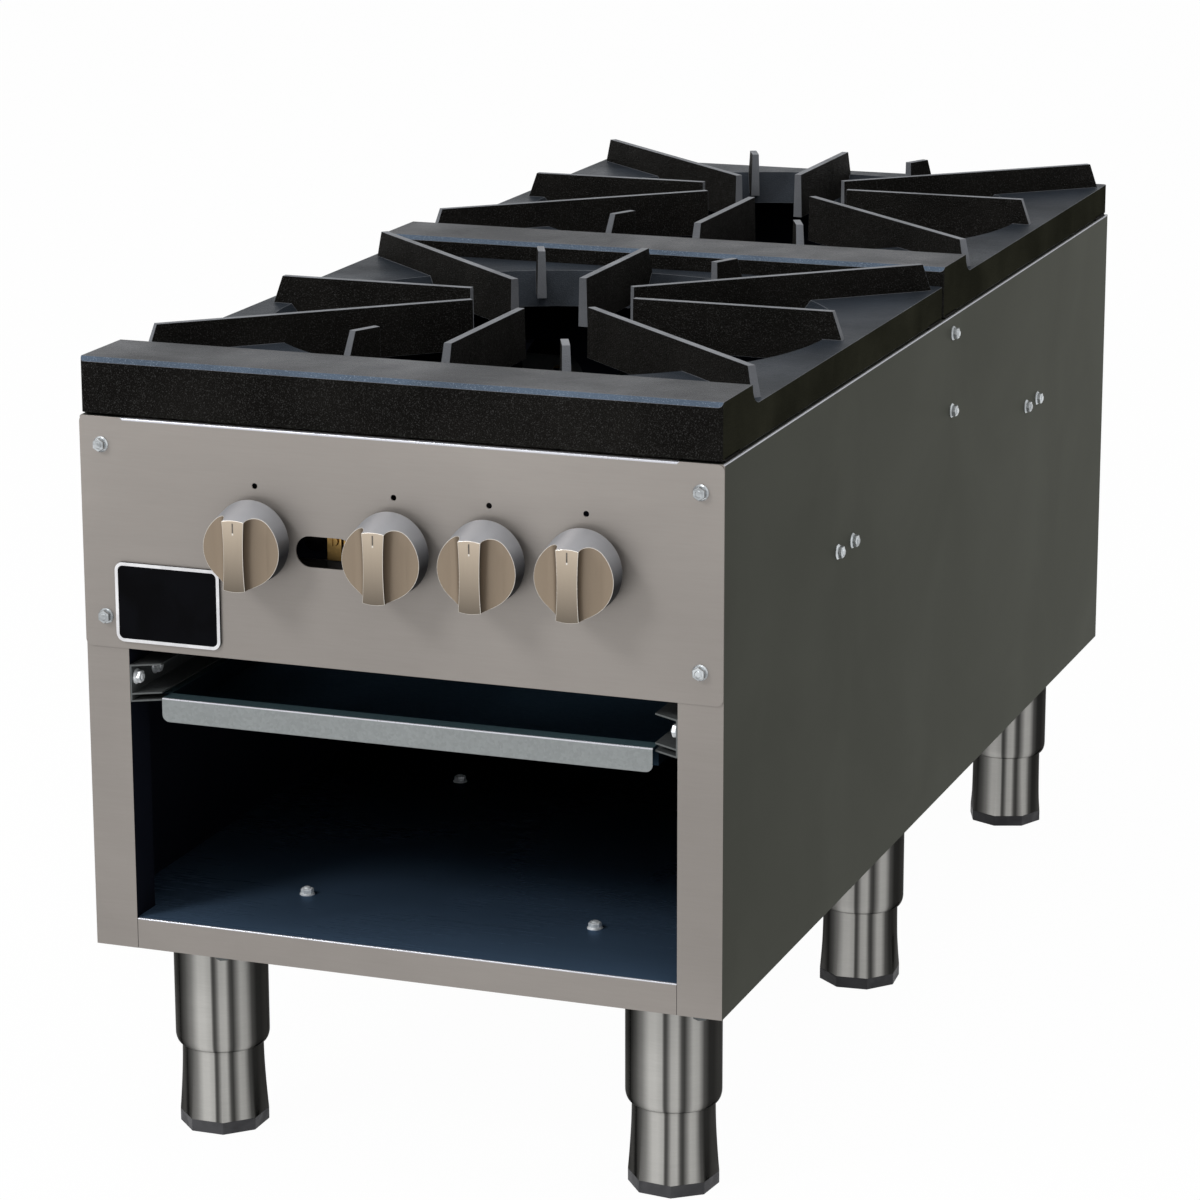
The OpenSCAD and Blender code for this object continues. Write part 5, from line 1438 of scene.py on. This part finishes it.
def build_rear_screws():
    """Pan heads and their shanks."""
    bm = bmesh.new()
    for low, high in islands("rear_panel_screws"):
        at = Vector(((low.x + high.x) / 2, high.y - PAN_H, (low.z + high.z) / 2))
        there, end = turned((0, 1, 0), at), low.y - at.y
        add_lathe(bm, PAN_HEAD, SMALL_STEPS, there)
        add_lathe(bm, [(0, end), (SHANK_R, end), (SHANK_R, SHANK_SUNK), (0, SHANK_SUNK)], ROD_STEPS, there)
    make_piece("rear_panel_screws_dressed", bm, "cabinet", ("zinc_plate",), ("rear_panel_screws",), smooth=32)


# ---------------------------------------------------------------- stage


CAMERA_AT = (1.0534, -2.9826, 1.1148)
CAMERA_TURN, CAMERA_DIP, CAMERA_ROLL = 20.223, 14.612, -0.116
CAMERA_LENS, CAMERA_SENSOR = 125.91, 36.0
FLOOR_HALF, FLOOR_SHARE, WORLD_FILL = 12.0, 0.98, 0.55
# Each lamp: name, place, aim, width in metres and power in watts
LAMPS = (
    ("key", (-1.9, -2.9, 2.6), (0.0, -0.3, 0.4), 1.1, 62.0),
    ("top", (0.2, -0.4, 3.4), (0.0, 0.0, 0.5), 2.0, 40.0),
)


def build_camera():
    data = bpy.data.cameras.new("camera")
    data.sensor_width = CAMERA_SENSOR
    data.lens = CAMERA_LENS
    data.clip_start, data.clip_end = 0.1, 50.0
    camera = add_object("camera", data)
    camera.location = CAMERA_AT
    turn = Matrix.Rotation(math.radians(CAMERA_TURN), 3, "Z")
    turn @= Matrix.Rotation(math.radians(90 - CAMERA_DIP), 3, "X") @ Matrix.Rotation(math.radians(CAMERA_ROLL), 3, "Z")
    camera.rotation_euler = turn.to_euler()
    bpy.context.scene.camera = camera


def seen_white(tree):
    """One where the stage is seen straight, in a reflection or through glass, else zero."""
    path = tree.nodes.new("ShaderNodeLightPath").outputs
    seen = arithmetic(tree, "MAXIMUM", path["Is Camera Ray"], path["Is Glossy Ray"])
    return arithmetic(tree, "MAXIMUM", seen, path["Is Transmission Ray"])


def build_floor():
    bm = bmesh.new()
    bmesh.ops.create_grid(bm, x_segments=2, y_segments=2, size=FLOOR_HALF)
    floor = add_object("floor", new_mesh("floor", bm))
    material = bpy.data.materials.new("pale_floor")
    material.use_nodes = True
    tree = material.node_tree
    shader = tree.nodes["Principled BSDF"]
    feed(tree, shader, base_color=(0.82, 0.82, 0.82), roughness=0.9, specular_ior_level=0.0)
    glow = place(tree, "ShaderNodeEmission", {"Color": WHITE, "Strength": 1.0})
    share = arithmetic(tree, "MULTIPLY", seen_white(tree), FLOOR_SHARE)
    mixed = place(tree, "ShaderNodeMixShader", {0: share, 1: shader.outputs[0], 2: glow.outputs[0]})
    plug(tree, tree.nodes["Material Output"].inputs["Surface"], mixed.outputs[0])
    floor.data.materials.append(material)


def build_world():
    world = bpy.data.worlds.new("studio")
    bpy.context.scene.world = world
    world.use_nodes = True
    tree = world.node_tree
    strength = remap(tree, seen_white(tree), 0.0, 1.0, WORLD_FILL, 1.0)
    feed(tree, tree.nodes["Background"], color=WHITE, strength=strength)


def build_lamps():
    for name, at, aim, size, power in LAMPS:
        data = bpy.data.lights.new(name, "AREA")
        data.shape = "DISK"
        data.size = size
        data.energy = power
        lamp = add_object(name, data)
        lamp.location = at
        lamp.rotation_euler = (Vector(at) - Vector(aim)).to_track_quat("Z", "Y").to_euler()


# ---------------------------------------------------------------- operators and panel


class RANGE_OT_stage(bpy.types.Operator):
    """Make the floor, lamps, world and camera"""

    bl_idname = "range.stage"
    bl_label = "Stage"

    def execute(self, context):
        context.scene.view_settings.view_transform = "Standard"
        build_camera()
        build_floor()
        build_world()
        build_lamps()
        return {"FINISHED"}


class RANGE_OT_sheets(bpy.types.Operator):
    """Make the cabinet's sheets"""

    bl_idname = "range.sheets"
    bl_label = "Sheets"

    def execute(self, context):
        build_sheets()
        return {"FINISHED"}


class RANGE_OT_plate(bpy.types.Operator):
    """Make the bare plate beside the first knob"""

    bl_idname = "range.plate"
    bl_label = "Bare plate"

    def execute(self, context):
        build_blank_plate()
        return {"FINISHED"}


class RANGE_OT_tray(bpy.types.Operator):
    """Make the drip tray and its channels"""

    bl_idname = "range.tray"
    bl_label = "Drip tray"

    def execute(self, context):
        build_tray()
        return {"FINISHED"}


class RANGE_OT_knobs(bpy.types.Operator):
    """Make the knobs and their stems"""

    bl_idname = "range.knobs"
    bl_label = "Knobs"

    def execute(self, context):
        build_knobs()
        return {"FINISHED"}


class RANGE_OT_grates(bpy.types.Operator):
    """Make the two cast grates"""

    bl_idname = "range.grates"
    bl_label = "Grates"

    def execute(self, context):
        build_grates()
        return {"FINISHED"}


class RANGE_OT_burners(bpy.types.Operator):
    """Make the ring burners and their air shutters"""

    bl_idname = "range.burners"
    bl_label = "Burners"

    def execute(self, context):
        build_burners()
        return {"FINISHED"}


class RANGE_OT_gas(bpy.types.Operator):
    """Make the pipes, valves, hoods and pilots"""

    bl_idname = "range.gas"
    bl_label = "Gas works"

    def execute(self, context):
        build_gas_works()
        return {"FINISHED"}


class RANGE_OT_legs(bpy.types.Operator):
    """Make the legs' sleeves and feet"""

    bl_idname = "range.legs"
    bl_label = "Legs"

    def execute(self, context):
        build_legs()
        return {"FINISHED"}


class RANGE_OT_bolts(bpy.types.Operator):
    """Make the bolts and screws"""

    bl_idname = "range.bolts"
    bl_label = "Bolts"

    def execute(self, context):
        build_bolts()
        build_rear_screws()
        return {"FINISHED"}


OPERATORS = (
    RANGE_OT_stage,
    RANGE_OT_sheets,
    RANGE_OT_plate,
    RANGE_OT_tray,
    RANGE_OT_knobs,
    RANGE_OT_grates,
    RANGE_OT_burners,
    RANGE_OT_gas,
    RANGE_OT_legs,
    RANGE_OT_bolts,
)


class RANGE_PT_panel(bpy.types.Panel):
    """Lists the range's pieces and finishes"""

    bl_idname = "RANGE_PT_panel"
    bl_label = "Stock pot range"
    bl_space_type = "VIEW_3D"
    bl_region_type = "UI"
    bl_category = "Range"

    def draw(self, context):
        layout = self.layout
        for group in (context.scene.range_sizes, context.scene.range_colours):
            box = layout.box()
            for name in group.__annotations__:
                box.prop(group, name)
        for operator in OPERATORS:
            layout.operator(operator.bl_idname)


CLASSES = (RangeSizes, RangeColours, *OPERATORS, RANGE_PT_panel)


def register():
    for each in CLASSES:
        bpy.utils.register_class(each)
    bpy.types.Scene.range_sizes = PointerProperty(type=RangeSizes)
    bpy.types.Scene.range_colours = PointerProperty(type=RangeColours)


def unregister():
    del bpy.types.Scene.range_colours
    del bpy.types.Scene.range_sizes
    for each in reversed(CLASSES):
        bpy.utils.unregister_class(each)


def main():
    register()
    bpy.ops.range.stage()
    bpy.ops.range.sheets()
    bpy.ops.range.plate()
    bpy.ops.range.tray()
    bpy.ops.range.knobs()
    bpy.ops.range.grates()
    bpy.ops.range.burners()
    bpy.ops.range.gas()
    bpy.ops.range.legs()
    bpy.ops.range.bolts()


if __name__ == "__main__":
    main()
